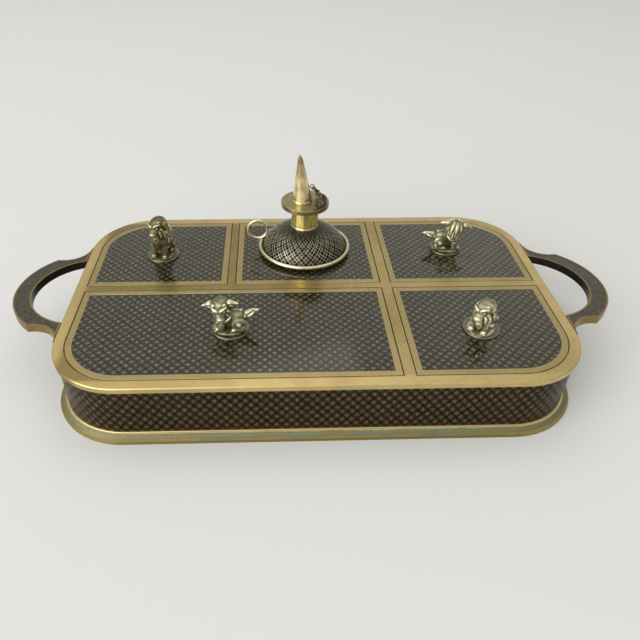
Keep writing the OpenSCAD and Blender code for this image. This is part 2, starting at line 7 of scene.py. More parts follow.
from __future__ import annotations

import functools
import logging
import math
from collections.abc import Sequence
from dataclasses import dataclass, field
from enum import Enum

import bmesh
import bpy
import numpy as np
from mathutils import Matrix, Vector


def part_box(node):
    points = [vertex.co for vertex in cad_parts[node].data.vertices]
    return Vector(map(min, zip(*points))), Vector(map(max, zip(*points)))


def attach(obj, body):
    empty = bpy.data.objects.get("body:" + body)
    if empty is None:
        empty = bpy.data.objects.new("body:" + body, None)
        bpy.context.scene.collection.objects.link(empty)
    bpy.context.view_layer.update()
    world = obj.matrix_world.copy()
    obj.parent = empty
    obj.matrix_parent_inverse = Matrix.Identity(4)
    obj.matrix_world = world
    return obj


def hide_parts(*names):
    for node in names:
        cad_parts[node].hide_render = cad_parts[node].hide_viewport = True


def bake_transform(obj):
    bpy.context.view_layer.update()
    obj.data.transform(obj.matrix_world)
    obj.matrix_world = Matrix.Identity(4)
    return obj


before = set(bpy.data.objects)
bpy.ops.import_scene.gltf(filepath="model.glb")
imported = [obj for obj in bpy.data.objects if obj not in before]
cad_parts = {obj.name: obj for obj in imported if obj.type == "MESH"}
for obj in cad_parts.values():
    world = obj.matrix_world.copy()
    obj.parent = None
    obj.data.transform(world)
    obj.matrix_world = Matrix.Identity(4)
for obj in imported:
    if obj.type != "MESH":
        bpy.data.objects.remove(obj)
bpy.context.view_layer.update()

LOG = logging.getLogger("inkstand")
MM = 0.001
TAU = 2 * math.pi
MERGE = 1e-7

Colour = tuple[float, float, float]
Socket = bpy.types.NodeSocket
Value = Socket | float | Colour
Array = np.ndarray


def srgb(red: float, green: float, blue: float) -> Colour:
    """Turns a colour of 0 to 255 on a screen into the linear values that shaders take.

    Args:
        red: Red on the screen.
        green: Green on the screen.
        blue: Blue on the screen.

    Returns:
        The linear colour.
    """
    parts = np.array([red, green, blue]) / 255
    low = parts / 12.92
    high = ((parts + 0.055) / 1.055) ** 2.4
    return tuple(float(v) for v in np.where(parts <= 0.04045, low, high))


# ---------------------------------------------------------------- node graphs


class Graph:
    """Node tree of one material, with short calls for the nodes that the finishes use."""

    def __init__(self, name: str) -> None:
        """Starts a material with a Principled shader.

        Args:
            name: Name of the material.
        """
        self.material = bpy.data.materials.new(name)
        self.material.use_nodes = True
        self.tree = self.material.node_tree
        self.tree.nodes.clear()
        output = self.node("OutputMaterial")
        self.shader = self.node("BsdfPrincipled")
        self.tree.links.new(self.shader.outputs[0], output.inputs[0])

    def feed(self, target: Socket, value: Value) -> None:
        """Links a socket to an input, or sets the input to a number or a colour.

        Args:
            target: The input.
            value: A socket, a number or a colour.
        """
        if isinstance(value, Socket):
            self.tree.links.new(value, target)
        elif isinstance(value, tuple) and target.type == "RGBA":
            target.default_value = (*value[:3], 1.0)
        else:
            target.default_value = value

    def node(self, kind: str, *values: Value, **options: str) -> bpy.types.Node:
        """Adds a node.

        Args:
            kind: Its type, without the words that all shader nodes start with.
            values: What its first inputs take, in order.
            options: Its options.

        Returns:
            The node.
        """
        node = self.tree.nodes.new(f"ShaderNode{kind}")
        for name, option in options.items():
            setattr(node, name, option)
        for target, value in zip(node.inputs, values):
            self.feed(target, value)
        return node

    def fill(self, node: bpy.types.Node, **values: Value) -> None:
        """Feeds inputs of a node by name, with _ for a space."""
        for name, value in values.items():
            self.feed(node.inputs[name.replace("_", " ")], value)

    def set(self, **values: Value) -> None:
        """Feeds inputs of the shader by name."""
        self.fill(self.shader, **values)

    def coords(self, kind: str = "Object") -> Socket:
        """Gives the piece's own coordinates or its UV map."""
        return self.node("TexCoord").outputs[kind]

    def attribute(self, name: str) -> Socket:
        """Gives a number kept on the piece's vertices."""
        return self.node("Attribute", attribute_name=name).outputs["Fac"]

    def axis(self, vector: Socket, which: str) -> Socket:
        """Gives the X, Y or Z of a vector."""
        return self.node("SeparateXYZ", vector).outputs[which]

    def vector(self, x: Value, y: Value, z: Value = 0.0) -> Socket:
        """Joins three numbers to a vector."""
        return self.node("CombineXYZ", x, y, z).outputs[0]

    def math(self, operation: str, *values: Value) -> Socket:
        """Gives the result of a Math node on one, two or three values."""
        return self.node("Math", *values, operation=operation).outputs[0]

    def cell_random(self, vector: Socket) -> Socket:
        """Gives one random value for each whole-numbered place."""
        return self.node("TexWhiteNoise", vector, noise_dimensions="3D").outputs["Value"]

    def scaled(self, vector: Socket, scale: tuple[float, float, float]) -> Socket:
        """Stretches coordinates by a factor on each axis.

        Args:
            vector: The coordinates.
            scale: The factors.

        Returns:
            The stretched coordinates.
        """
        node = self.node("Mapping")
        self.fill(node, Vector=vector, Scale=scale)
        return node.outputs[0]

    def noise(self, vector: Socket, scale: float, detail: float = 3, rough: float = 0.55) -> Socket:
        """Gives smooth random values round 0.5.

        Args:
            vector: Coordinates.
            scale: Waves per metre.
            detail: Number of finer layers.
            rough: Strength of the finer layers.

        Returns:
            The values.
        """
        node = self.node("TexNoise")
        self.fill(node, Vector=vector, Scale=scale, Detail=detail, Roughness=rough)
        return node.outputs["Fac"]

    def step(self, value: Socket, low: float, high: float, out: tuple = (0.0, 1.0)) -> Socket:
        """Rises smoothly from one output to the other as the value passes from low to high.

        Args:
            value: The value.
            low: Where the rise starts.
            high: Where the rise ends.
            out: Outputs before and after the rise.

        Returns:
            The result.
        """
        node = self.node("MapRange", interpolation_type="SMOOTHSTEP")
        self.fill(node, Value=value, From_Min=low, From_Max=high, To_Min=out[0], To_Max=out[1])
        return node.outputs["Result"]

    def mix(self, share: Value, a: Value, b: Value) -> Socket:
        """Mixes two colours.

        Args:
            share: Share of the second colour.
            a: First colour.
            b: Second colour.

        Returns:
            The mixed colour.
        """
        node = self.node("Mix", data_type="RGBA")
        for place, value in ((0, share), (6, a), (7, b)):
            self.feed(node.inputs[place], value)
        return node.outputs[2]

    def bump(self, height: Socket, depth: float, under: Socket | None = None) -> Socket:
        """Turns heights of 0 to 1 into a bumped normal.

        Args:
            height: The heights.
            depth: Depth of a height of 1, in metres.
            under: A normal that is bumped already.

        Returns:
            The normal.
        """
        node = self.node("Bump")
        self.fill(node, Strength=1.0, Distance=depth, Height=height)
        if under is not None:
            self.fill(node, Normal=under)
        return node.outputs[0]


# ---------------------------------------------------------------- finishes


@dataclass(frozen=True)
class Brass:
    """Old brass: an even olive tarnish with soft clouds, fine scratches and green specks.

    Where field is set to half the length and half the width of a middle field, the metal
    inside it is duller than the rim round it, which hands rub bright, and duller on the left
    than on the right, which is a painted sheen. Where burnt is set to two heights, the metal
    darkens from the first up to the second. Cloud is the clouds' waves per metre,
    tarnish_part their strength and green_from the level of noise at which green specks
    start. Streak stretches the scratches, and grain is their depth.
    """

    name: str
    bright: Colour
    tarnish: Colour
    green: Colour
    rough: float = 0.34
    cloud: float = 38.0
    tarnish_part: float = 0.6
    green_from: float = 0.66
    streak: tuple[float, float, float] = (1.0, 9.0, 9.0)
    field: tuple[float, float] | None = None
    burnt: tuple[float, float] | None = None
    grain: float = 0.000012

    def rubbed_and_painted_sheen_share(self, graph: Graph, place: Socket) -> Socket:
        """Gives the dullness: 0 on the rim, and less to the right than to the left in the field, where the
        brighter right is a painted sheen.

        The rim starts where the larger of |x| / length and |y| / width reaches 1.

        Args:
            graph: The material's graph.
            place: Coordinates.

        Returns:
            The share.
        """
        reach = [graph.math("DIVIDE", graph.math("ABSOLUTE", graph.axis(place, axis)), half)
                 for axis, half in zip("XY", self.field)]
        inside = graph.step(graph.math("MAXIMUM", *reach), 0.97, 1.02, (0.8, 0.0))
        # Painted sheen: the field is brighter to the right, as if it caught more light there.
        painted_sheen_fade = graph.step(graph.axis(place, "X"), -0.1, 0.12, (1.0, 0.3))
        return graph.math("MULTIPLY", inside, painted_sheen_fade)

    def material(self) -> bpy.types.Material:
        """Builds the material: wide clouds tint the metal and fine noise dulls its gloss.

        Returns:
            The material.
        """
        graph = Graph(self.name)
        place = graph.coords()
        cloud = graph.step(graph.noise(place, self.cloud, detail=4, rough=0.6), 0.34, 0.68)
        grain = graph.noise(place, 1300, detail=4, rough=0.65)
        streak = graph.noise(graph.scaled(place, self.streak), 240, detail=3, rough=0.6)
        blotch = graph.noise(place, 230, detail=6, rough=0.72)
        spots = graph.step(blotch, self.green_from, self.green_from + 0.08)
        speck = graph.math("MULTIPLY", graph.step(grain, 0.35, 0.7), 0.3)
        share = graph.math("MULTIPLY_ADD", cloud, 0.5, graph.math("MULTIPLY_ADD", streak, 0.2, speck))
        share = graph.math("MULTIPLY", share, self.tarnish_part)
        if self.field is not None:
            share = graph.math("ADD", self.rubbed_and_painted_sheen_share(graph, place), share)
        if self.burnt is not None:
            burn = graph.step(graph.axis(place, "Z"), *self.burnt, (0.0, 0.5))
            share = graph.math("ADD", burn, share)
        colour = graph.mix(graph.math("MINIMUM", share, 1.0), self.bright, self.tarnish)
        colour = graph.mix(graph.math("MULTIPLY", spots, 0.6), colour, self.green)
        rough = graph.math("MULTIPLY_ADD", streak, 0.14, self.rough - 0.12)
        rough = graph.math("MULTIPLY_ADD", cloud, 0.1, rough)
        graph.set(Base_Color=colour, Roughness=graph.math("MULTIPLY_ADD", spots, 0.2, rough), Metallic=1.0)
        graph.set(Normal=graph.bump(grain, self.grain, graph.bump(streak, 0.8 * self.grain)))
        return graph.material


@dataclass(frozen=True)
class Verdigris:
    """Brass moulding with a grey-green bloom in its hollow and bare, rubbed edges, with its top bead lighter
    and its lower lip darker as painted highlight and shade.
    """

    name: str
    bare: Colour
    lip: Colour
    bloom: Colour
    green: Colour
    low: float
    high: float
    rough: float = 0.34

    def material(self) -> bpy.types.Material:
        """Builds the material: the bloom lies between two heights, with a noisy edge.

        Returns:
            The material.
        """
        graph = Graph(self.name)
        place = graph.coords()
        cloud = graph.noise(place, 60, detail=5, rough=0.65)
        grain = graph.noise(place, 900, detail=4, rough=0.65)
        ragged = graph.math("MULTIPLY", graph.math("SUBTRACT", cloud, 0.5), 0.0016)
        height = graph.math("ADD", graph.axis(place, "Z"), ragged)
        above = graph.step(height, self.low - 0.0005, self.low + 0.0004)
        below = graph.step(height, self.high - 0.0005, self.high + 0.0004, (1.0, 0.0))
        hollow = graph.math("MULTIPLY", above, below)
        share = graph.math("MULTIPLY", hollow, graph.step(grain, 0.1, 0.6, (0.55, 0.95)))
        green = graph.mix(graph.step(cloud, 0.45, 0.66), self.bloom, self.green)
        # Painted highlight and shade: the brass runs from the darker lip at the foot up to the lighter bead,
        # over its rubbed colour.
        metal = graph.mix(graph.step(height, self.low, self.high), self.lip, self.bare)
        graph.set(Base_Color=graph.mix(share, metal, green))
        graph.set(Metallic=graph.math("MULTIPLY_ADD", share, -0.6, 1.0))
        graph.set(Roughness=graph.math("MULTIPLY_ADD", share, 0.18, self.rough))
        graph.set(Normal=graph.bump(grain, 0.00002))
        return graph.material


@dataclass(frozen=True)
class Bronze:
    """Cast bronze: dark and greenish in its hollows, pale and worn where it stands out.

    It reads the attribute relief, 0 in a hollow and 1 on a ridge.
    """

    name: str
    hollow: Colour
    skin: Colour
    ridge: Colour
    rough: float = 0.44

    def material(self) -> bpy.types.Material:
        """Builds the material: relief and noise choose between three colours.

        Returns:
            The material.
        """
        graph = Graph(self.name)
        place = graph.coords()
        relief = graph.attribute("relief")
        cloud = graph.noise(place, 260, detail=5, rough=0.65)
        grain = graph.noise(place, 2600, detail=3, rough=0.6)
        uneven = graph.math("MULTIPLY", graph.math("SUBTRACT", cloud, 0.5), 0.5)
        height = graph.math("ADD", relief, uneven)
        colour = graph.mix(graph.step(height, 0.25, 0.5), self.hollow, self.skin)
        colour = graph.mix(graph.step(height, 0.5, 0.85), colour, self.ridge)
        rough = graph.math("SUBTRACT", self.rough + 0.1, graph.math("MULTIPLY", relief, 0.24))
        rough = graph.math("ADD", rough, graph.math("MULTIPLY", cloud, 0.12))
        graph.set(Base_Color=colour, Roughness=rough, Metallic=0.72, IOR=1.5)
        graph.set(Normal=graph.bump(grain, 0.00002))
        return graph.material


WARM_GLOSS: Colour = (1.0, 0.96, 0.84)


class Plane(Enum):
    """Where an enamel's pattern lies."""

    FLAT = "Object"
    WRAPPED = "UV"


@dataclass(frozen=True)
class WiredEnamel:
    """Dark glassy enamel over a diaper of fine brass wire.

    The diagonals are the lines where x / across + y / along and x / across - y / along
    are whole numbers. Each is a pair of wires, pair apart to each side, and where two
    pairs cross they frame a small star, towards which the wires grow brighter, from the
    share faint. Where painted_fade is set to two lengths along Y, the wires fade from one
    to the other: a painted look of reflected haze hiding them. Gloss is the enamel's
    specular level, and wire_rough is how much duller than the enamel a wire is.
    """

    name: str
    plane: Plane
    across: float
    along: float
    ground: Colour
    cloud: Colour
    star: Colour
    wire: Colour
    wire_w: float = 0.024
    pair: float = 0.13
    star_part: float = 0.35
    faint: float = 0.35
    rough: float = 0.12
    gloss: float = 0.5
    wire_rough: float = 0.05
    painted_fade: tuple[float, float] | None = None

    def net(self, graph: Graph, solid: Socket) -> tuple[Socket, Socket, list[Socket]]:
        """Works out the masks of the net from the two diagonal distances.

        Args:
            graph: The material's graph.
            solid: The piece's own coordinates.

        Returns:
            Masks of the wires and of the stars, and the two diagonal lengths.
        """
        place = graph.coords(self.plane.value)
        drift = graph.math("SUBTRACT", graph.noise(solid, 420, detail=2), 0.5)
        wobble = graph.math("MULTIPLY", drift, 0.0006)
        x = graph.math("DIVIDE", graph.math("ADD", graph.axis(place, "X"), wobble), self.across)
        y = graph.math("DIVIDE", graph.math("ADD", graph.axis(place, "Y"), wobble), self.along)
        slants = [graph.math("ADD", x, y), graph.math("SUBTRACT", x, y)]
        parts = [graph.math("FRACT", v) for v in slants]
        far = [graph.math("ABSOLUTE", graph.math("SUBTRACT", v, 0.5)) for v in parts]
        off = [graph.math("ABSOLUTE", graph.math("SUBTRACT", v, 0.5 - self.pair)) for v in far]
        lines = [graph.step(v, self.wire_w, self.wire_w * 0.5) for v in off]
        near = [graph.step(v, 0.1, 0.44, (self.faint, 1.0)) for v in reversed(far)]
        wires = graph.math("MAXIMUM", *(graph.math("MULTIPLY", *both) for both in zip(lines, near)))
        edge = 0.5 - self.pair
        inner = [graph.step(v, edge - 0.02, edge + 0.05) for v in far]
        return wires, graph.math("MULTIPLY", *inner), slants

    def material(self) -> bpy.types.Material:
        """Builds the material: wires are bare metal, stars are pale enamel, and both are worn.

        Returns:
            The material.
        """
        graph = Graph(self.name)
        solid = graph.coords()
        wires, stars, slants = self.net(graph, solid)
        cell = graph.vector(*(graph.math("ROUND", v) for v in slants))
        lot = graph.step(graph.cell_random(cell), 0.0, 1.0, (0.3, 1.0))
        cloud = graph.noise(solid, 45, detail=4, rough=0.6)
        fine = graph.noise(solid, 1500, detail=3, rough=0.6)
        worn = graph.step(graph.noise(solid, 330, detail=4, rough=0.7), 0.3, 0.6, (0.35, 1.0))
        colour = graph.mix(graph.step(cloud, 0.35, 0.72), self.ground, self.cloud)
        stars = graph.math("MULTIPLY", graph.math("MULTIPLY", stars, lot), self.star_part)
        wires = graph.math("MULTIPLY", wires, worn)
        # Painted: the wires fade towards the dome's top, standing in for the reflected haze that hides them
        # there.
        if self.painted_fade is not None:
            along = graph.axis(graph.coords(self.plane.value), "Y")
            wires = graph.math("MULTIPLY", wires, graph.step(along, *self.painted_fade, (1.0, 0.3)))
        colour = graph.mix(wires, graph.mix(stars, colour, self.star), self.wire)
        raised = graph.math("MAXIMUM", wires, stars)
        rough = graph.math("MULTIPLY_ADD", fine, 0.1, self.rough - 0.05)
        rough = graph.math("MULTIPLY_ADD", raised, self.wire_rough, rough)
        graph.set(Base_Color=colour, Roughness=rough, Metallic=wires)
        graph.set(IOR=1.5, Specular_IOR_Level=self.gloss, Specular_Tint=WARM_GLOSS)
        graph.set(Normal=graph.bump(raised, 0.00002, graph.bump(fine, 0.000006)))
        return graph.material


@dataclass(frozen=True)
class Glaze:
    """Plain glassy enamel or glaze, mottled and lightly crazed."""

    name: str
    light: Colour
    dark: Colour
    scale: float = 320.0
    rough: float = 0.25

    def material(self) -> bpy.types.Material:
        """Builds the material: two noises mottle the colour and the gloss.

        Returns:
            The material.
        """
        graph = Graph(self.name)
        place = graph.coords()
        mottle = graph.noise(place, self.scale, detail=5, rough=0.7)
        fine = graph.noise(place, self.scale * 5, detail=3, rough=0.6)
        share = graph.math("MULTIPLY_ADD", mottle, 0.6, graph.math("MULTIPLY", fine, 0.4))
        share = graph.step(share, 0.38, 0.62)
        graph.set(Base_Color=graph.mix(share, self.dark, self.light), IOR=1.5)
        graph.set(Roughness=graph.math("MULTIPLY_ADD", mottle, 0.16, self.rough - 0.08))
        graph.set(Normal=graph.bump(fine, 0.00002))
        return graph.material


@dataclass(frozen=True)
class Cotton:
    """Twisted cotton of a lamp wick, with a scorched end."""

    name: str
    thread: Colour
    char: Colour
    char_from: float

    def material(self) -> bpy.types.Material:
        """Builds the material: slanting bands are strands, and height gives the scorch.

        Returns:
            The material.
        """
        graph = Graph(self.name)
        place = graph.coords()
        height = graph.axis(place, "Z")
        climb = graph.math("MULTIPLY", height, 3800)
        swirl = graph.math("MULTIPLY_ADD", graph.axis(place, "X"), 2600, climb)
        strands = graph.math("MULTIPLY_ADD", graph.math("SINE", swirl), 0.5, 0.5)
        fuzz = graph.noise(place, 5000, detail=3, rough=0.7)
        ragged = graph.math("MULTIPLY_ADD", fuzz, 0.0006, height)
        scorch = graph.step(ragged, self.char_from, self.char_from + 0.0016)
        shade = tuple(0.6 * v for v in self.thread)
        colour = graph.mix(graph.math("MULTIPLY", strands, 0.4), self.thread, shade)
        graph.set(Base_Color=graph.mix(scorch, colour, self.char), Roughness=0.95)
        graph.set(Normal=graph.bump(graph.math("ADD", strands, fuzz), 0.00008))
        return graph.material


@dataclass(frozen=True)
class Finishes:
    """Every finish of the stand."""

    # Its field is duller on the left; the brighter right is a painted sheen.
    frame_brass: Brass = Brass(
        "Frame_Brass", bright=srgb(222, 198, 138), tarnish=srgb(152, 134, 88), green=srgb(124, 124, 92),
        field=(0.1435, 0.0835))
    lid_brass: Brass = Brass(
        "Lid_Brass", bright=srgb(190, 170, 120), tarnish=srgb(136, 122, 82), green=srgb(128, 130, 92),
        rough=0.32)
    # Its bare top bead is lighter and its lip darker: rubbed brass, with painted highlight and shade.
    foot_brass: Verdigris = Verdigris(
        "Foot_Brass", bare=srgb(218, 198, 146), lip=srgb(152, 136, 88), bloom=srgb(110, 106, 76),
        green=srgb(90, 110, 92), low=0.0016, high=0.0043)
    handle_brass: Brass = Brass(
        "Handle_Brass", bright=srgb(156, 136, 88), tarnish=srgb(104, 88, 56), green=srgb(94, 98, 74),
        rough=0.36)
    neck_brass: Brass = Brass(
        "Neck_Brass", bright=srgb(248, 240, 186), tarnish=srgb(196, 186, 126), green=srgb(150, 150, 108),
        rough=0.24, cloud=120.0, tarnish_part=0.5, green_from=0.7, grain=0.000003)
    pan_brass: Brass = Brass(
        "Pan_Brass", bright=srgb(228, 220, 188), tarnish=srgb(176, 168, 134), green=srgb(146, 154, 126),
        rough=0.28, cloud=120.0, tarnish_part=0.7, green_from=0.62, grain=0.000005)
    cone_brass: Brass = Brass(
        "Cone_Brass", bright=srgb(255, 238, 184), tarnish=srgb(138, 112, 84), green=srgb(116, 116, 86),
        rough=0.24, cloud=150.0, tarnish_part=0.6, green_from=0.68, streak=(9.0, 9.0, 1.0),
        burnt=(0.087, 0.1), grain=0.000005)
    inner_brass: Brass = Brass(
        "Inner_Brass", bright=srgb(172, 152, 104), tarnish=srgb(116, 102, 70), green=srgb(96, 98, 74),
        rough=0.46, cloud=60.0, tarnish_part=0.8)
    plate_bronze: Brass = Brass(
        "Plate_Bronze", bright=srgb(138, 138, 118), tarnish=srgb(92, 92, 76), green=srgb(108, 118, 102),
        cloud=160.0, tarnish_part=0.8, green_from=0.6)
    disc_bronze: Brass = Brass(
        "Disc_Bronze", bright=srgb(176, 166, 126), tarnish=srgb(118, 110, 78), green=srgb(112, 120, 96),
        rough=0.36, cloud=160.0, tarnish_part=0.8, green_from=0.62)
    chain_bronze: Brass = Brass(
        "Chain_Bronze", bright=srgb(150, 142, 108), tarnish=srgb(36, 34, 24), green=srgb(148, 164, 134),
        rough=0.22, cloud=420.0, tarnish_part=1.1, green_from=0.6)
    lion_bronze: Bronze = Bronze(
        "Lion_Bronze", hollow=srgb(104, 102, 76), skin=srgb(194, 191, 156), ridge=srgb(250, 246, 216),
        rough=0.38)
    # Painted light: a lighter copy of the lion bronze for the front-right lion, as if it stood in more
    # light.
    lit_copy_bronze: Bronze = Bronze(
        "Lit_Copy_Bronze", hollow=srgb(124, 120, 93), skin=srgb(226, 220, 184), ridge=srgb(255, 250, 228),
        rough=0.34)
    sitting_bronze: Bronze = Bronze(
        "Sitting_Bronze", hollow=srgb(94, 87, 62), skin=srgb(160, 152, 116), ridge=srgb(228, 218, 180),
        rough=0.4)
    lid_enamel: WiredEnamel = WiredEnamel(
        "Lid_Enamel", Plane.FLAT, across=0.00555, along=0.0055, ground=srgb(15, 16, 7),
        cloud=srgb(30, 26, 14), star=srgb(142, 142, 122), wire=srgb(190, 184, 156), wire_w=0.024,
        pair=0.16, star_part=0.28, faint=0.3, rough=0.07, gloss=0.7)
    side_enamel: WiredEnamel = WiredEnamel(
        "Side_Enamel", Plane.WRAPPED, across=0.0055, along=0.0063, ground=srgb(12, 7, 3),
        cloud=srgb(26, 17, 8), star=srgb(136, 120, 88), wire=srgb(176, 152, 104), wire_w=0.024,
        pair=0.15, star_part=0.34, faint=0.5, rough=0.3, gloss=0.1, wire_rough=0.1)
    # Its wire net fades towards the top: painted, for the reflected haze there.
    dome_enamel: WiredEnamel = WiredEnamel(
        "Dome_Enamel", Plane.WRAPPED, across=0.0064, along=0.0062, ground=srgb(10, 9, 7),
        cloud=srgb(24, 22, 18), star=srgb(120, 116, 100), wire=srgb(204, 197, 174), wire_w=0.044,
        pair=0.21, star_part=0.0, faint=0.75, rough=0.14, gloss=0.14, wire_rough=0.26,
        painted_fade=(0.013, 0.029))
    handle_enamel: Glaze = Glaze(
        "Handle_Enamel", light=srgb(70, 64, 46), dark=srgb(36, 33, 24), scale=420.0)
    # Painted shade: a near-black glaze on the handles' inner walls stands in for the shade inside the loops.
    handle_inner_shade: Glaze = Glaze(
        "Handle_Inner_Shade", light=srgb(34, 31, 25), dark=srgb(20, 18, 14), scale=420.0, rough=0.35)
    stoneware: Glaze = Glaze(
        "Ink_Stoneware", light=srgb(226, 220, 202), dark=srgb(196, 186, 162), scale=120.0)
    cotton: Cotton = Cotton(
        "Wick_Cotton", thread=srgb(206, 196, 168), char=srgb(24, 21, 18), char_from=0.0805)


FINISH = Finishes()
Finish = Brass | Verdigris | Bronze | WiredEnamel | Glaze | Cotton


@functools.cache
def material_of(finish: Finish) -> bpy.types.Material:
    """Builds a finish the first time that it is asked for."""
    return finish.material()


def dress(piece: bpy.types.Object, finish: Finish) -> bpy.types.Object:
    """Gives a piece one finish on all its faces.

    Args:
        piece: The piece or CAD node.
        finish: The finish.

    Returns:
        The piece.
    """
    piece.data.materials.clear()
    piece.data.materials.append(material_of(finish))
    return piece


# ---------------------------------------------------------------- surfaces


def centre_of(node: str) -> Array:
    """Gives the middle of a CAD node's box."""
    low, high = (np.array(corner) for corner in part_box(node))
    return (low + high) / 2


def new_piece(name: str, points: Array, faces: Array, uv: Array | None = None) -> bpy.types.Object:
    """Makes a smoothly shaded mesh object from points and faces.

    Args:
        name: Name of the piece.
        points: Points, one row each.
        faces: Four point numbers for each face.
        uv: Coordinates of each corner of each face, or None.

    Returns:
        The object, at the origin.
    """
    mesh = bpy.data.meshes.new(name)
    mesh.from_pydata(np.asarray(points, float).tolist(), [], faces.tolist())
    if uv is not None:
        layer = mesh.uv_layers.new(name="UVMap")
        layer.data.foreach_set("uv", np.asarray(uv, np.float32).ravel())
    mesh.polygons.foreach_set("use_smooth", np.ones(len(mesh.polygons), bool))
    mesh.update()
    piece = bpy.data.objects.new(name, mesh)
    bpy.context.scene.collection.objects.link(piece)
    return piece


def grid_faces(rows: int, cols: int, wrap_rows: bool, wrap_cols: bool) -> Array:
    """Gives the quads of a grid of points numbered row by row.

    Args:
        rows: Number of rows.
        cols: Number of columns.
        wrap_rows: Whether the last row joins the first.
        wrap_cols: Whether the last column joins the first.

    Returns:
        Four point numbers for each quad.
    """
    row = np.arange(rows if wrap_rows else rows - 1)[:, None]
    col = np.arange(cols if wrap_cols else cols - 1)[None, :]
    up, right = (row + 1) % rows, (col + 1) % cols
    quad = [row * cols + col, row * cols + right, up * cols + right, up * cols + col]
    return np.stack(np.broadcast_arrays(*quad), -1).reshape(-1, 4)


@dataclass
class Sheet:
    """A surface given by a grid of points, with the lengths along it as UV."""

    name: str
    points: Array
    wrap_rows: bool = False
    wrap_cols: bool = False
    flat: Array | None = None

    def build(self) -> bpy.types.Object:
        """Makes the piece.

        Its UV is the flat coordinates, where they are given for each point. Otherwise U is
        the mean length along the rows and V along the columns.

        Returns:
            The object.
        """
        rows, cols = self.points.shape[:2]
        quads = grid_faces(rows, cols, self.wrap_rows, self.wrap_cols)
        if self.flat is not None:
            return new_piece(self.name, self.points.reshape(-1, 3), quads, self.flat.reshape(-1, 2)[quads])
        along = np.diff(self.points, axis=0, append=self.points[:1])
        across = np.diff(self.points, axis=1, append=self.points[:, :1])
        u = np.concatenate([[0], np.cumsum(np.linalg.norm(along, axis=2).mean(1))])
        v = np.concatenate([[0], np.cumsum(np.linalg.norm(across, axis=2).mean(0))])
        n_rows = rows if self.wrap_rows else rows - 1
        n_cols = cols if self.wrap_cols else cols - 1
        row, col = np.divmod(np.arange(n_rows * n_cols), n_cols)
        corners = np.stack([
            np.stack([u[row], v[col]], -1), np.stack([u[row], v[col + 1]], -1),
            np.stack([u[row + 1], v[col + 1]], -1), np.stack([u[row + 1], v[col]], -1)], 1)
        return new_piece(self.name, self.points.reshape(-1, 3), quads, corners)


def lengths_along(points: Array) -> Array:
    """Gives the length along a line of points from the first up to each of them."""
    return np.concatenate([[0], np.cumsum(np.linalg.norm(np.diff(points, axis=0), axis=1))])


def around(profile: Array, angle: Array, centre: Sequence[float]) -> Array:
    """Carries a profile of radius and height round a vertical axis.

    Point (r, z) of the profile goes to c + (r cos a, r sin a, z) for each angle a.

    Args:
        profile: Radius and height of each point.
        angle: The angles.
        centre: Point c that the profile's origin lies on.

    Returns:
        The points, one row for each angle.
    """
    a = angle[:, None]
    radius, height = profile[:, 0][None], profile[:, 1][None]
    points = np.broadcast_arrays(radius * np.cos(a), radius * np.sin(a), height)
    return np.stack(points, -1) + np.array(centre)


def revolve(name: str, profile: Array, centre: Sequence[float], steps: int = 128) -> bpy.types.Object:
    """Turns a closed profile of radius and height into a round piece.

    Args:
        name: Name of the piece.
        profile: Radius and height of each point, in order round the section.
        centre: Point that the profile's origin lies on.
        steps: Number of steps round the circle.

    Returns:
        The object.
    """
    angle = np.linspace(0, TAU, steps, endpoint=False)
    return tidy(Sheet(name, around(profile, angle, centre), True, True).build())


def tidy(piece: bpy.types.Object, sharp: float = 40.0) -> bpy.types.Object:
    """Merges doubled points, turns faces outwards and keeps edges sharper than an angle.

    Args:
        piece: The piece.
        sharp: Angle in degrees.

    Returns:
        The piece.
    """
    work = bmesh.new()
    work.from_mesh(piece.data)
    bmesh.ops.remove_doubles(work, verts=work.verts, dist=MERGE)
    bmesh.ops.dissolve_degenerate(work, edges=work.edges, dist=MERGE)
    bmesh.ops.recalc_face_normals(work, faces=work.faces)
    work.to_mesh(piece.data)
    work.free()
    piece.data.set_sharp_from_angle(angle=math.radians(sharp))
    return piece


def round_profile(corners: Sequence[tuple[float, float, float]], steps: int = 4) -> Array:
    """Rounds the corners of a closed section.

    Each corner is replaced by a quarter-like curve: the point (1-t)^2 a + 2 t (1-t) c + t^2 b
    for t from 0 to 1, where c is the corner and a and b lie on its sides.

    Args:
        corners: X, Y and rounding length of each corner, in order.
        steps: Number of steps on each corner.

    Returns:
        The points of the rounded section.
    """
    spots = np.array([c[:2] for c in corners], float)
    size = np.array([c[2] for c in corners], float)[:, None]
    before = np.roll(spots, 1, 0) - spots
    after = np.roll(spots, -1, 0) - spots
    length_b = np.linalg.norm(before, axis=1, keepdims=True)
    length_a = np.linalg.norm(after, axis=1, keepdims=True)
    start = spots + before / length_b * np.minimum(size, length_b * 0.49)
    end = spots + after / length_a * np.minimum(size, length_a * 0.49)
    t = np.linspace(0, 1, steps + 1)[None, :, None]
    curve = (1 - t) ** 2 * start[:, None] + 2 * t * (1 - t) * spots[:, None] + t**2 * end[:, None]
    return curve.reshape(-1, 2)


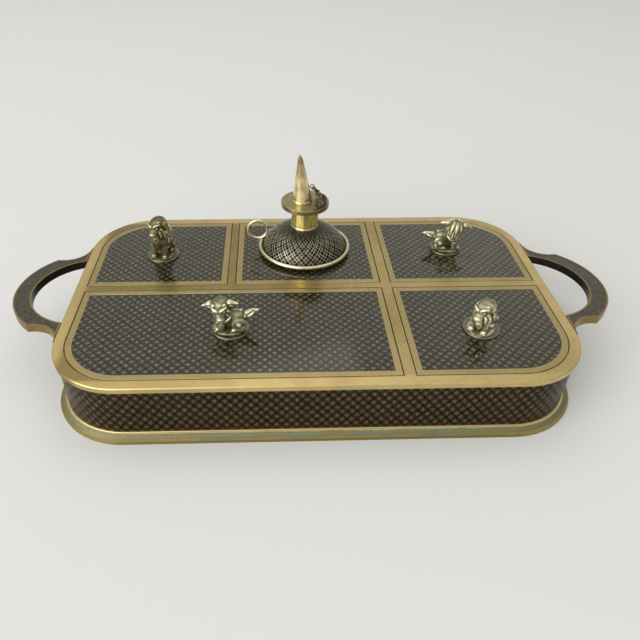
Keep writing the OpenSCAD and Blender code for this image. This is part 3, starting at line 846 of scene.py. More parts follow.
@dataclass
class Outline:
    """A rectangle with round corners about the tray's middle, seen from above."""

    half_l: float
    half_w: float
    corner: float

    def trace(self, steps: int, longest: float) -> tuple[Array, Array]:
        """Gives points along the outline, counter-clockwise, and the outward direction at each.

        A round corner's points lie at c + r n, for directions n over a quarter circle round
        its centre c. Steps longer than a length are divided evenly.

        Args:
            steps: Number of steps on each round corner.
            longest: Longest step.

        Returns:
            Points and directions.
        """
        angle = np.radians(np.add.outer([180, 270, 0, 90], np.linspace(0, 90, steps + 1)))
        aims = np.stack([np.cos(angle), np.sin(angle)], -1)
        middle = np.array([(-1, -1), (1, -1), (1, 1), (-1, 1)]) * (
            self.half_l - self.corner, self.half_w - self.corner)
        spots = (middle[:, None] + self.corner * aims).reshape(-1, 2)
        aims = aims.reshape(-1, 2)
        gap = np.linalg.norm(np.roll(spots, -1, 0) - spots, axis=1)
        parts = np.maximum(1, np.ceil(gap / longest)).astype(int)
        at = np.concatenate([i + np.arange(n) / n for i, n in enumerate(parts)])
        low = at.astype(int)
        high = (low + 1) % len(spots)
        share = (at - low)[:, None]
        return (spots[low] * (1 - share) + spots[high] * share,
                aims[low] * (1 - share) + aims[high] * share)


def sweep_round(name: str, outline: Outline, profile: Array, steps: int, longest: float) -> bpy.types.Object:
    """Carries a profile of distance outwards and height along an outline.

    Point (u, z) of the profile goes to p + u n and height z, for the outline's points p and
    outward directions n.

    Args:
        name: Name of the piece.
        outline: The outline.
        profile: Distance outwards and height of each point of the section.
        steps: Number of steps on each round corner.
        longest: Longest step along the outline.

    Returns:
        The object.
    """
    spots, aims = outline.trace(steps, longest)
    flat = spots[:, None] + profile[None, :, :1] * aims[:, None]
    height = np.broadcast_to(profile[None, :, 1:], (*flat.shape[:2], 1))
    piece = Sheet(name, np.concatenate([flat, height], -1), True, True).build()
    return tidy(piece)


def bevelled_copy(node: str, width: float) -> bpy.types.Object:
    """Copies a CAD node, merges its points and flat faces, and rounds its sharp edges.

    Points closer than 0.002 mm and faces within 0.6 degrees are merged, and edges of 35
    degrees and more are rounded.

    Args:
        node: Name of the node.
        width: Width of the rounding.

    Returns:
        The copy, which stands for the node.
    """
    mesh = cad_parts[node].data.copy()
    piece = bpy.data.objects.new(f"{node}_dressed", mesh)
    bpy.context.scene.collection.objects.link(piece)
    work = bmesh.new()
    work.from_mesh(mesh)
    bmesh.ops.remove_doubles(work, verts=work.verts, dist=2e-6)
    bmesh.ops.dissolve_limit(work, angle_limit=math.radians(0.6), verts=work.verts, edges=work.edges)
    work.to_mesh(mesh)
    work.free()
    mesh.polygons.foreach_set("use_smooth", np.ones(len(mesh.polygons), bool))
    bevel = piece.modifiers.new("Edges", "BEVEL")
    bevel.width, bevel.segments = width, 2
    bevel.limit_method, bevel.angle_limit = "ANGLE", math.radians(35)
    bevel.use_clamp_overlap, bevel.harden_normals = True, False
    weights = piece.modifiers.new("Shading", "WEIGHTED_NORMAL")
    weights.keep_sharp = True
    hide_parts(node)
    return piece


# ---------------------------------------------------------------- clay


def smooth_min(a: Array, b: Array, k: float) -> Array:
    """Joins two distance fields with a fillet of size k.

    With h = clamp(0.5 + (b - a) / 2k), the result is b + (a - b) h - k h (1 - h).
    """
    h = np.clip(0.5 + 0.5 * (b - a) / k, 0, 1)
    return b + (a - b) * h - k * h * (1 - h)


class Clay:
    """A field of distances on a grid, which grows and is cut like modelling clay.

    Lengths are in millimetres. The field is negative inside the clay, and far everywhere
    at first. A shape changes it only within a margin round itself.
    """

    far: float = 9.0
    margin: float = 0.6

    def __init__(self, low: Sequence[float], high: Sequence[float], pitch: float) -> None:
        """Starts with an empty block. All radii are multiplied by gain, which starts at 1.

        Args:
            low: Lowest corner of the block.
            high: Highest corner of the block.
            pitch: Distance of the grid's points.
        """
        self.pitch = pitch
        self.axes = [np.arange(a, b + pitch, pitch, dtype=np.float32) for a, b in zip(low, high)]
        self.field = np.full([len(a) for a in self.axes], self.far, np.float32)
        self.gain = 1.0

    def window(self, low: Array, high: Array) -> tuple[tuple[slice, ...], list[Array]]:
        """Gives the part of the grid between two corners.

        Args:
            low: Lowest corner.
            high: Highest corner.

        Returns:
            Where the part lies in the field, and its coordinates.
        """
        spans = []
        for axis, a, b in zip(self.axes, low, high):
            first = int(np.clip(np.searchsorted(axis, a), 0, len(axis) - 1))
            last = int(np.clip(np.searchsorted(axis, b), first + 1, len(axis)))
            spans.append(slice(first, last))
        x, y, z = (axis[s] for axis, s in zip(self.axes, spans))
        return tuple(spans), [x[:, None, None], y[None, :, None], z[None, None, :]]

    def join(self, spans: tuple[slice, ...], shape: Array, k: float, cut: bool) -> None:
        """Adds a shape to a part of the grid, or cuts it away.

        Args:
            spans: Where the part lies in the field.
            shape: The shape's distances there.
            k: Size of the fillet.
            cut: Whether it is cut away.
        """
        now = self.field[spans]
        self.field[spans] = -smooth_min(-now, shape, k) if cut else smooth_min(now, shape, k)

    def limb(self, a: Sequence[float], b: Sequence[float], ra: float, rb: float, k: float = 0.6,
             flat: Sequence[float] = (1, 1, 1), cut: bool = False) -> None:
        """Adds a tapered round-ended rod.

        The distance is |p - (a + t (b - a))| - (ra + t (rb - ra)), with t the nearest place
        on the line from a to b.

        Args:
            a: One end.
            b: The other end.
            ra: Radius at a.
            rb: Radius at b.
            k: Size of the fillet.
            flat: Factors that flatten the section along the axes.
            cut: Whether the rod is cut away.
        """
        a, b = np.array(a, np.float32), np.array(b, np.float32)
        ra, rb, k = ra * self.gain, rb * self.gain, k * self.gain
        reach = max(ra, rb) / min(flat) + 2 * k + self.margin
        spans, place = self.window(np.minimum(a, b) - reach, np.maximum(a, b) + reach)
        stretch = np.array(flat, np.float32)
        span = (b - a) * stretch
        offset = [(p - q) * s for p, q, s in zip(place, a, stretch)]
        length = max(float((span**2).sum()), 1e-9)
        t = np.clip(sum(o * s for o, s in zip(offset, span)) / length, 0, 1)
        gap = np.sqrt(sum((o - t * s) ** 2 for o, s in zip(offset, span)))
        self.join(spans, (gap - (ra + t * (rb - ra))) / max(flat), k, cut)

    def egg(self, middle: Sequence[float], radii: Sequence[float], k: float = 0.6,
            turn: Array | None = None, cut: bool = False) -> None:
        """Adds an ellipsoid.

        With q = (p - c) / r, the distance is close to |q| (|q| - 1) / |q / r|.

        Args:
            middle: Its middle c.
            radii: Its three radii r.
            k: Size of the fillet.
            turn: Rotation matrix, or None.
            cut: Whether it is cut away.
        """
        middle = np.array(middle, np.float32)
        radii, k = np.array(radii, np.float32) * self.gain, k * self.gain
        reach = float(radii.max()) + 2 * k + self.margin
        spans, place = self.window(middle - reach, middle + reach)
        offset = [p - q for p, q in zip(place, middle)]
        if turn is not None:
            offset = [sum(float(turn[j, i]) * offset[j] for j in range(3)) for i in range(3)]
        one = np.sqrt(sum((o / r) ** 2 for o, r in zip(offset, radii)))
        two = np.sqrt(sum((o / r**2) ** 2 for o, r in zip(offset, radii))) + 1e-6
        self.join(spans, one * (one - 1) / two, k, cut)

    def groove(self, middle: Array, aim: Array, radius: float, wire: float) -> None:
        """Cuts a round groove that faces a direction.

        The distance is |(|q| - R, h)| - w, with h the height along the direction and q the
        rest of the offset.

        Args:
            middle: Its middle.
            aim: The direction.
            radius: Radius R of the groove's middle line.
            wire: Radius w of its section.
        """
        fillet, margin = 0.08, 0.4
        radius, wire = radius * self.gain, wire * self.gain
        reach = radius + wire + 2 * fillet + margin
        spans, place = self.window(middle - reach, middle + reach)
        offset = [p - q for p, q in zip(place, middle)]
        height = sum(o * float(a) for o, a in zip(offset, aim))
        wide = np.sqrt(np.maximum(sum(o * o for o in offset) - height**2, 0))
        self.join(spans, np.sqrt((wide - radius) ** 2 + height**2) - wire, fillet, True)

    def curl(self, middle: Sequence[float], aim: Sequence[float], radius: float) -> None:
        """Adds a round curl of hair: a button with a ring-shaped groove and a raised middle.

        Args:
            middle: Its middle.
            aim: The way it faces.
            radius: Its radius.
        """
        middle = np.array(middle, float)
        aim = np.array(aim, float) / np.linalg.norm(aim)
        self.egg(middle, (radius, radius, radius), 0.18)
        face = middle + aim * radius * 0.72 * self.gain
        self.groove(face, aim, radius * 0.5, radius * 0.17)

    def lock(self, path: Sequence[Sequence[float]], radius: float, tip: float,
             flat: Sequence[float] = (1, 1, 1)) -> None:
        """Adds a lock of hair along a bent path, as a row of rods.

        The path is (1-t)^2 a + 2 t (1-t) b + t^2 c for t from 0 to 1, and the radius goes
        from root to tip as t to the power 1.4.

        Args:
            path: The places a, b and c.
            radius: Radius at the root.
            tip: Radius at the tip.
            flat: Factors that flatten the section along the axes.
        """
        spots = np.array(path, float)
        t = np.linspace(0, 1, 9)[:, None]
        curve = (1 - t) ** 2 * spots[0] + 2 * t * (1 - t) * spots[1] + t**2 * spots[2]
        size = radius + (tip - radius) * t[:, 0] ** 1.4
        for i in range(8):
            self.limb(curve[i], curve[i + 1], size[i], size[i + 1], 0.16, flat)

    def flatten_base(self) -> None:
        """Cuts away all that lies below height 0."""
        height = self.axes[2][None, None, :]
        self.field = np.maximum(self.field, -height)

    def relief(self, points: Array, reach: float = 0.8) -> Array:
        """Tells ridges from hollows.

        The share of clay in a cube round each point, by sums over the grid, is a half on a
        flat face, less on a ridge and more in a hollow.

        Args:
            points: Points on the surface.
            reach: Half the cube's side.

        Returns:
            0 in the deepest hollows to 1 on the sharpest ridges.
        """
        solid = np.clip(0.5 - self.field / self.pitch, 0, 1)
        n = max(1, round(reach / self.pitch))
        for axis in range(3):
            pad = [(n + 1, n) if i == axis else (0, 0) for i in range(3)]
            total = np.cumsum(np.pad(solid, pad), axis=axis)
            size = solid.shape[axis]
            high = np.take(total, np.arange(2 * n + 1, 2 * n + 1 + size), axis)
            solid = (high - np.take(total, np.arange(size), axis)) / (2 * n + 1)
        low = np.array([a[0] for a in self.axes])
        spot = np.clip((points - low) / self.pitch, 0, np.array(self.field.shape) - 1.001)
        base = spot.astype(int)
        t = spot - base
        share = np.zeros(len(points))
        for corner in ((i, j, k) for i in (0, 1) for j in (0, 1) for k in (0, 1)):
            weight = np.prod(np.where(corner, t, 1 - t), axis=1)
            share += weight * solid[tuple((base + corner).T)]
        return np.clip((0.56 - share) / 0.3, 0, 1)

    def surface(self) -> tuple[Array, Array]:
        """Nets the surface where the field is 0.

        Each grid cell that the surface passes holds one point, the mean of the crossings on
        the cell's edges. Each grid edge that it crosses gives a quad of the four cells
        round that edge.

        Returns:
            Points and quads.
        """
        f = self.field
        inside = f < 0
        shape = tuple(n - 1 for n in f.shape)
        total = np.zeros(shape, np.int8)
        corners = [(i, j, k) for i in (0, 1) for j in (0, 1) for k in (0, 1)]
        for i, j, k in corners:
            total += inside[i : i + shape[0], j : j + shape[1], k : k + shape[2]]
        cells = np.argwhere((total > 0) & (total < 8))
        number = np.full(shape, -1, np.int64)
        number[tuple(cells.T)] = np.arange(len(cells))
        spot, count = np.zeros((len(cells), 3)), np.zeros(len(cells))
        for a in corners:
            for axis in range(3):
                if a[axis]:
                    continue
                b = tuple(v + (n == axis) for n, v in enumerate(a))
                fa, fb = f[tuple((cells + a).T)], f[tuple((cells + b).T)]
                hit = (fa < 0) != (fb < 0)
                t = np.where(hit, fa / np.where(hit, fa - fb, 1), 0)
                place = np.array(a) + t[:, None] * (np.arange(3) == axis)
                spot += np.where(hit[:, None], place, 0)
                count += hit
        low = np.array([a[0] for a in self.axes])
        points = (cells + spot / count[:, None]) * self.pitch + low
        quads = []
        for axis in range(3):
            u, v = (axis + 1) % 3, (axis + 2) % 3
            first = [slice(None)] * 3
            second = [slice(None)] * 3
            first[axis], second[axis] = slice(0, -1), slice(1, None)
            change = inside[tuple(first)] != inside[tuple(second)]
            edge = np.argwhere(change)
            within = (edge[:, [u, v]] > 0) & (edge[:, [u, v]] < (shape[u], shape[v]))
            edge = edge[within.all(1)]
            back_u, back_v = (np.arange(3) == u).astype(int), (np.arange(3) == v).astype(int)
            ring = [edge - back_u - back_v, edge - back_v, edge, edge - back_u]
            quad = np.stack([number[tuple(r.T)] for r in ring], -1)
            flip = ~inside[tuple(edge.T)]
            quad[flip] = quad[flip][:, ::-1]
            quads.append(quad)
        return points, np.concatenate(quads)


# ---------------------------------------------------------------- lions


class Pose(Enum):
    """How a lion is cast."""

    STANDING = 0
    SITTING = 1


@dataclass
class Lion:
    """A guardian-lion knob on its lid.

    It is modelled in millimetres with its chest towards -X and its feet at height 0. Turn
    is the whole lion's angle and look the head's, nod and tilt lean the head, and pitch is
    the fineness of the clay, all angles in degrees. Ears, hood, head_size and tail_lift are
    factors: how far the ears spread, how round the mane is (0 for loose curls), the head's
    size and how high the tail stands.
    """

    place: str
    pose: Pose
    turn: float
    look: float
    finish: Bronze
    ears: float = 1.0
    hood: float = 0.0
    nod: float = 16.0
    tilt: float = -9.0
    head_size: float = 1.14
    tail_lift: float = 1.0
    pitch: float = 0.21
    clay: Clay = field(init=False)

    def __post_init__(self) -> None:
        """Starts an empty block of clay, taller for a sitting lion."""
        top = 31.5 if self.pose is Pose.SITTING else 22.5
        self.clay = Clay((-17, -15, -0.6), (18.5, 15, top), self.pitch)

    def trunk(self) -> None:
        """Models the body, haunches, legs and paws."""
        clay, sit = self.clay, float(self.pose.value)
        clay.limb((-3.8, 0, 9 + 3.4 * sit), (3.4, 0, 8.4 - 1.2 * sit), 4.7, 4.1, 1.0)
        clay.egg((4.8, 0, 7.6 - 1.6 * sit), (4.2, 4.7, 4.9), 1.2)
        clay.egg((-4.1, 0, 7.6 + 3.0 * sit), (3.8, 4.2, 5.2), 1.0)
        clay.limb((-3.6, 0, 4.6), (4.4, 0, 4.2), 2.9, 3.1, 1.0)
        clay.egg((-0.4, 0, -0.2), (10.2, 7.8, 1.3), 1.2)
        for side in (-1, 1):
            clay.egg((4.9, 3.4 * side, 5.4 - 0.5 * sit), (4.2, 2.5, 4.6), 0.5)
            clay.limb((7.0, 4.0 * side, 3.4), (6.6, 4.4 * side, 1.7), 1.9, 1.6, 0.5)
            clay.limb((6.6, 4.4 * side, 1.6), (2.4, 4.8 * side, 1.4), 1.6, 1.8, 0.5)
            clay.egg((-4.1, 3.1 * side, 8.0 + 2.6 * sit), (2.9, 2.2, 3.8), 0.6)
            clay.limb((-4.5, 3.3 * side, 6.6 + 1.6 * sit), (-5.2, 3.6 * side, 2.2), 2.4, 1.9, 0.5)
            clay.limb((-5.2, 3.6 * side, 1.5), (-7.0, 3.7 * side, 1.3), 1.8, 1.8, 0.5)
            for toe in (-1, 0, 1):
                clay.egg((-8.3 + 0.3 * abs(toe), (3.7 + 1.1 * toe) * side, 0.85), (1.0, 0.65, 0.9), 0.15)
                clay.egg((1.1 + 0.3 * abs(toe), (4.8 + 1.05 * toe) * side, 0.85), (1.0, 0.62, 0.9), 0.15)
            clay.limb((2.0, 5.6 * side, 4.0), (5.2, 6.3 * side, 2.2), 0.35, 0.25, 0.2, cut=True)
            clay.curl((-4.4, 4.7 * side, 6.2 + 1.8 * sit), (-0.3, side, 0.1), 1.5)
            clay.lock([(-3.4, 4.7 * side, 7.8 + 2.2 * sit), (-0.8, 5.4 * side, 8.6 + 1.8 * sit),
                       (0.6, 4.4 * side, 11.0 + sit)], 1.2, 0.3)
            clay.curl((5.2, 5.3 * side, 6.0 - 0.8 * sit), (0.1, side, 0.3), 1.7)
        for bead in range(5):
            height = 12.6 + 1.5 * sit - 0.1 * bead - 0.6 * sit * bead
            clay.egg((-0.2 + 1.6 * bead, 0, height), (1.0, 0.9, 0.6), 0.5)

    def tail(self) -> None:
        """Models a leaf-shaped tail with a ridge, on a short stalk between two curls."""
        clay = self.clay

        def at(x: float, y: float, z: float) -> tuple[float, float, float]:
            """Gives a place on the tail, which is lifted in a share of its height over the stalk."""
            return x, y, 8.0 + self.tail_lift * (z - 8.0)

        clay.limb(at(7.0, 0, 7.4), at(10.0, 0, 9.4), 2.1, 1.8, 0.7)
        clay.lock([at(9.4, 0, 9.0), at(12.6, 0, 11.2), at(16.4, 0, 12.6)], 3.0, 0.4, (1, 1.25, 1.1))
        for side in (-1, 1):
            leaf = [at(9.6, 0.9 * side, 8.7), at(12.0, 2.3 * side, 9.8), at(13.8, 1.6 * side, 12.0)]
            clay.lock(leaf, 1.5, 0.4)
            clay.limb(at(10.8, 1.3 * side, 11.4), at(15.0, 0.6 * side, 12.9), 0.22, 0.14, 0.15, cut=True)
            clay.curl(at(8.6, 2.0 * side, 9.2), (0.2, side, 0.2), 1.2)

    def head(self) -> None:
        """Models the head with muzzle, brows, eyes, spread ears, beard and mane."""
        clay, sit = self.clay, float(self.pose.value)
        middle = np.array([-4.8, -0.8, 15.0 + 8.4 * sit])
        turns = ((self.look, "Z"), (self.tilt, "Y"), (self.nod, "X"))
        spin = np.array(Matrix.Identity(3))
        for degrees, axis in turns:
            spin = spin @ np.array(Matrix.Rotation(math.radians(degrees), 3, axis))

        def at(x: float, y: float, z: float) -> Array:
            """Gives a place on the head in the lion's own lengths."""
            return middle + spin @ np.array([x, y, z]) * self.head_size

        def way(x: float, y: float, z: float) -> Array:
            """Gives a direction on the head."""
            return spin @ np.array([x, y, z], float)

        clay.limb((-3.8, -0.1, 10.6 + 6.0 * sit), middle + (0, 0, -1.2), 4.3, 4.3, 0.8)
        clay.gain = self.head_size
        clay.egg(middle, (4.1, 4.1, 3.9), 0.8, spin)
        clay.limb(at(0, -1.8, 0.1), at(0, -5.2, -2.0), 2.9, 2.3, 0.5, (1, 1, 1.1))
        clay.egg(at(0, -6.1, -1.9), (1.9, 1.5, 1.25), 0.35, spin)
        clay.egg(at(0, -6.8, -1.4), (1.25, 0.85, 0.7), 0.2, spin)
        clay.limb(at(0, -1.6, -3.9), at(0, -5.0, -4.9), 2.0, 1.45, 0.4)
        clay.egg(at(0, -5.4, -3.65), (1.75, 2.1, 0.5), 0.15, spin, cut=True)
        clay.egg(at(0, -4.8, -3.9), (0.9, 1.8, 0.35), 0.1, spin)
        for side in (-1, 1):
            clay.egg(at(0.62 * side, -7.5, -1.5), (0.28, 0.5, 0.26), 0.08, spin, cut=True)
            clay.egg(at(1.3 * side, -5.8, -3.2), (0.35, 0.35, 0.7), 0.08, spin)
            clay.egg(at(1.9 * side, -3.5, 1.0), (1.05, 0.9, 0.95), 0.12, spin)
            clay.groove(at(1.95 * side, -3.9, 1.0), way(0.35 * side, -1, 0.2), 0.95, 0.16)
            clay.egg(at(1.98 * side, -4.35, 1.0), (0.3, 0.3, 0.3), 0.06, spin, cut=True)
            brow = [at(0.5 * side, -4.0, 1.5), at(1.9 * side, -4.3, 2.9), at(3.7 * side, -2.3, 2.6)]
            clay.lock(brow, 0.85, 0.5)
            root = at(3.1 * side, 0.4, 1.9)
            wide = at((3.1 + 2.1 * self.ears) * side, 0.8, 2.1 - 1.2 * (1 - self.ears))
            tip = at((3.1 + 6.1 * self.ears) * side, 0.5, 1.7 - 3.4 * (1 - self.ears))
            clay.limb(root, wide, 1.5, 2.0, 0.4, (1, 1.2, 1.1))
            clay.limb(wide, tip, 2.0, 0.4, 0.3, (1, 1.2, 1.1))
            clay.limb(wide + way(0, -2.0, 0.1), tip + way(-1.2 * side, -1.0, 0.1), 0.8, 0.25, 0.25, cut=True)
            cheek = [at(2.5 * side, -3.1, -1.6), at(3.6 * side, -3.4, -3.4), at(2.6 * side, -3.6, -5.2)]
            clay.lock(cheek, 1.0, 0.3)
            ruff = [at(3.2 * side, -1.6, -1.4), at(4.6 * side, -1.4, -3.4), at(3.9 * side, -1.8, -5.8)]
            clay.lock(ruff, 1.15, 0.3)
            clay.curl(at(3.5 * side, -2.0, -0.6), way(side, -0.7, 0), 1.0)
            clay.curl(at(2.9 * side, -1.5, 3.3), way(0.7 * side, -0.5, 1), 0.9)
            beard = [at(0.8 * side, -4.6, -5.3), at(1.1 * side, -5.2, -6.7), at(0.5 * side, -4.6, -8.0)]
            clay.lock(beard, 0.85, 0.25)
        clay.lock([at(0, -4.9, -5.3), at(0, -5.6, -7.1), at(0, -4.8, -8.6)], 0.9, 0.25)
        for column in range(0 if self.hood else 3):
            spot = at(1.5 * (column - 1), -2.0 - 0.5 * (column == 1), 3.6)
            clay.curl(spot, way(0.3 * (column - 1), -0.6, 1), 0.95)
        for column in range(5):
            swing = math.radians(34 * (column - 2))
            x, y = math.sin(swing), math.cos(swing)
            drop = 1.2 * abs(column - 2)
            fall = [at(1.8 * x, 1.2 * y, 2.4), at(4.9 * x, 4.9 * y, 2.0 - 0.3 * drop),
                    at(4.6 * x, 4.6 * y, -4.8 + 0.5 * drop)]
            clay.lock(fall, 1.7, 0.8)
            clay.limb(at(3.4 * x, 3.6 * y, 3.2), at(4.5 * x, 5.0 * y, -1.6), 0.16, 0.16, 0.1, cut=True)
            clay.curl(at(4.6 * x, 4.4 * y, -3.6 + 0.4 * drop), way(x, y, -0.1), 1.05)
        if self.hood:
            clay.egg(at(0.2, 0.8, 1.7), (4.9 * self.hood, 5.0 * self.hood, 3.7 * self.hood), 0.5, spin)
        for column in range(4):
            swing = math.radians(34 * (column - 1.5))
            x, y = math.sin(swing), math.cos(swing)
            nape = [at(2.6 * x, 2.6 * y, 1.6), at(5.3 * x, 5.2 * y, -1.4), at(4.6 * x, 5.0 * y, -6.0)]
            clay.lock(nape, 1.2, 0.5)
        clay.gain = 1.0

    def build(self) -> bpy.types.Object:
        """Models the lion, nets it, turns it and stands it on its plate.

        Its relief is less towards the feet, where the bronze stays dark.

        Returns:
            The knob's figure.
        """
        node = f"lion_{self.place}"
        self.trunk()
        self.tail()
        self.head()
        self.clay.flatten_base()
        points, quads = self.clay.surface()
        relief = self.clay.relief(points) * np.clip(points[:, 2] / 2.4, 0.35, 1)
        plate = f"plate_{self.place}"
        foot = np.array([*centre_of(plate)[:2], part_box(plate)[1].z])
        a = math.radians(self.turn)
        spin = np.array([[math.cos(a), -math.sin(a), 0], [math.sin(a), math.cos(a), 0], [0, 0, 1]])
        piece = new_piece(f"Lion_{self.place}", points @ spin.T * MM + foot, quads)
        layer = piece.data.attributes.new("relief", "FLOAT", "POINT")
        layer.data.foreach_set("value", relief.astype(np.float32))
        dress(piece, self.finish)
        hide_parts(node)
        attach(piece, f"lid_body_{self.place}")
        LOG.info("lion %s: %d faces", self.place, len(quads))
        return piece


# ---------------------------------------------------------------- tray


def dress_node(node: str, finish: Finish) -> bpy.types.Object:
    """Dresses a CAD node that keeps its own shape."""
    LOG.info("%s as it is", node)
    return dress(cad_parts[node], finish)


def edge_node(node: str, body: str, finish: Finish, width: float) -> bpy.types.Object:
    """Replaces a CAD node with a copy whose edges are rounded.

    Args:
        node: Name of the node.
        body: Body that it moves with.
        finish: Its finish.
        width: Width of the rounding.

    Returns:
        The copy.
    """
    piece = dress(bevelled_copy(node, width), finish)
    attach(piece, body)
    LOG.info("%s with rounded edges", node)
    return piece


@dataclass
class Tray:
    """The tray with its wall, foot, frame, handles, partitions and ink pot.

    Corner is the radius of the wall's round corners, and loop_r that of a handle's loop.
    """

    corner: float = 0.0397
    enamel_t: float = 0.0008
    loop_r: float = 0.045
    body: str = "tray"

    def band(self) -> bpy.types.Object:
        """Builds the enamel band round the wall, with lengths along it as UV.

        Returns:
            The band.
        """
        low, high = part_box("side_enamel")
        profile = np.array([
            (0, low.z), (0, high.z), (-self.enamel_t, high.z), (-self.enamel_t, low.z)])
        outline = Outline(high.x, high.y, self.corner)
        band = sweep_round("Side_band", outline, profile, steps=32, longest=0.01)
        dress(band, FINISH.side_enamel)
        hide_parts("side_enamel")
        LOG.info("side band")
        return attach(band, self.body)

    def handles(self) -> None:
        """Builds the loop handles: brass, with a near-black painted shade on the wall inside the loop.

        That wall is made of the upright faces beyond the frame which look towards the
        centre of the loop.
        """
        frame_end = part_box("top_frame")[1].x
        for side in ("left", "right"):
            low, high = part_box(f"handle_{side}")
            centre = high.x - self.loop_r if side == "right" else low.x + self.loop_r
            handle = edge_node(f"handle_{side}", self.body, FINISH.handle_brass, 0.0005)
            handle.data.materials.append(material_of(FINISH.handle_inner_shade))
            count = len(handle.data.polygons)
            normal, middle = np.zeros(count * 3), np.zeros(count * 3)
            handle.data.polygons.foreach_get("normal", normal)
            handle.data.polygons.foreach_get("center", middle)
            normal, middle = normal.reshape(-1, 3), middle.reshape(-1, 3)
            to_centre = np.array([centre, 0.0]) - middle[:, :2]
            inwards = (to_centre * normal[:, :2]).sum(1) > 0.002
            upright = np.abs(normal[:, 2]) < 0.3
            beyond = np.abs(middle[:, 0]) > frame_end + 0.0005
            # These faces get the near-black painted shade.
            inner = inwards & upright & beyond
            handle.data.polygons.foreach_set("material_index", inner.astype(np.int32))
            dress_node(f"handle_enamel_{side}", FINISH.handle_enamel)

    def build(self) -> None:
        """Builds and dresses the whole tray."""
        self.band()
        edge_node("foot_moulding", self.body, FINISH.foot_brass, 0.0002)
        edge_node("top_frame", self.body, FINISH.frame_brass, 0.0003)
        self.handles()
        for node in ("floor_sheet", "side_wall", "cross_partition", "main_partition", "rear_partition"):
            dress_node(node, FINISH.inner_brass)
        edge_node("ink_pot", self.body, FINISH.stoneware, 0.0005)


@dataclass
class Lid:
    """One lid with its enamel panel, and its knob's plate and nut if it has a knob."""

    place: str
    knob: bool = True

    def build(self) -> None:
        """Builds and dresses the lid."""
        body = f"lid_body_{self.place}"
        edge_node(f"lid_{self.place}", body, FINISH.lid_brass, 0.00025)
        dress_node(f"enamel_{self.place}", FINISH.lid_enamel)
        if self.knob:
            edge_node(f"plate_{self.place}", body, FINISH.plate_bronze, 0.00015)
            edge_node(f"nut_{self.place}", body, FINISH.inner_brass, 0.0002)


# ---------------------------------------------------------------- lamp


def arc(centre: tuple[float, float], radius: float, start: float, end: float, steps: int) -> Array:
    """Gives the points c + r (cos a, sin a) of an arc.

    Args:
        centre: Its centre c in the section.
        radius: Its radius r.
        start: Angle a of its first point, in degrees.
        end: Angle a of its last point, in degrees.
        steps: Number of steps.

    Returns:
        The points.
    """
    angle = np.radians(np.linspace(start, end, steps + 1))
    return np.stack([centre[0] + radius * np.cos(angle), centre[1] + radius * np.sin(angle)], -1)


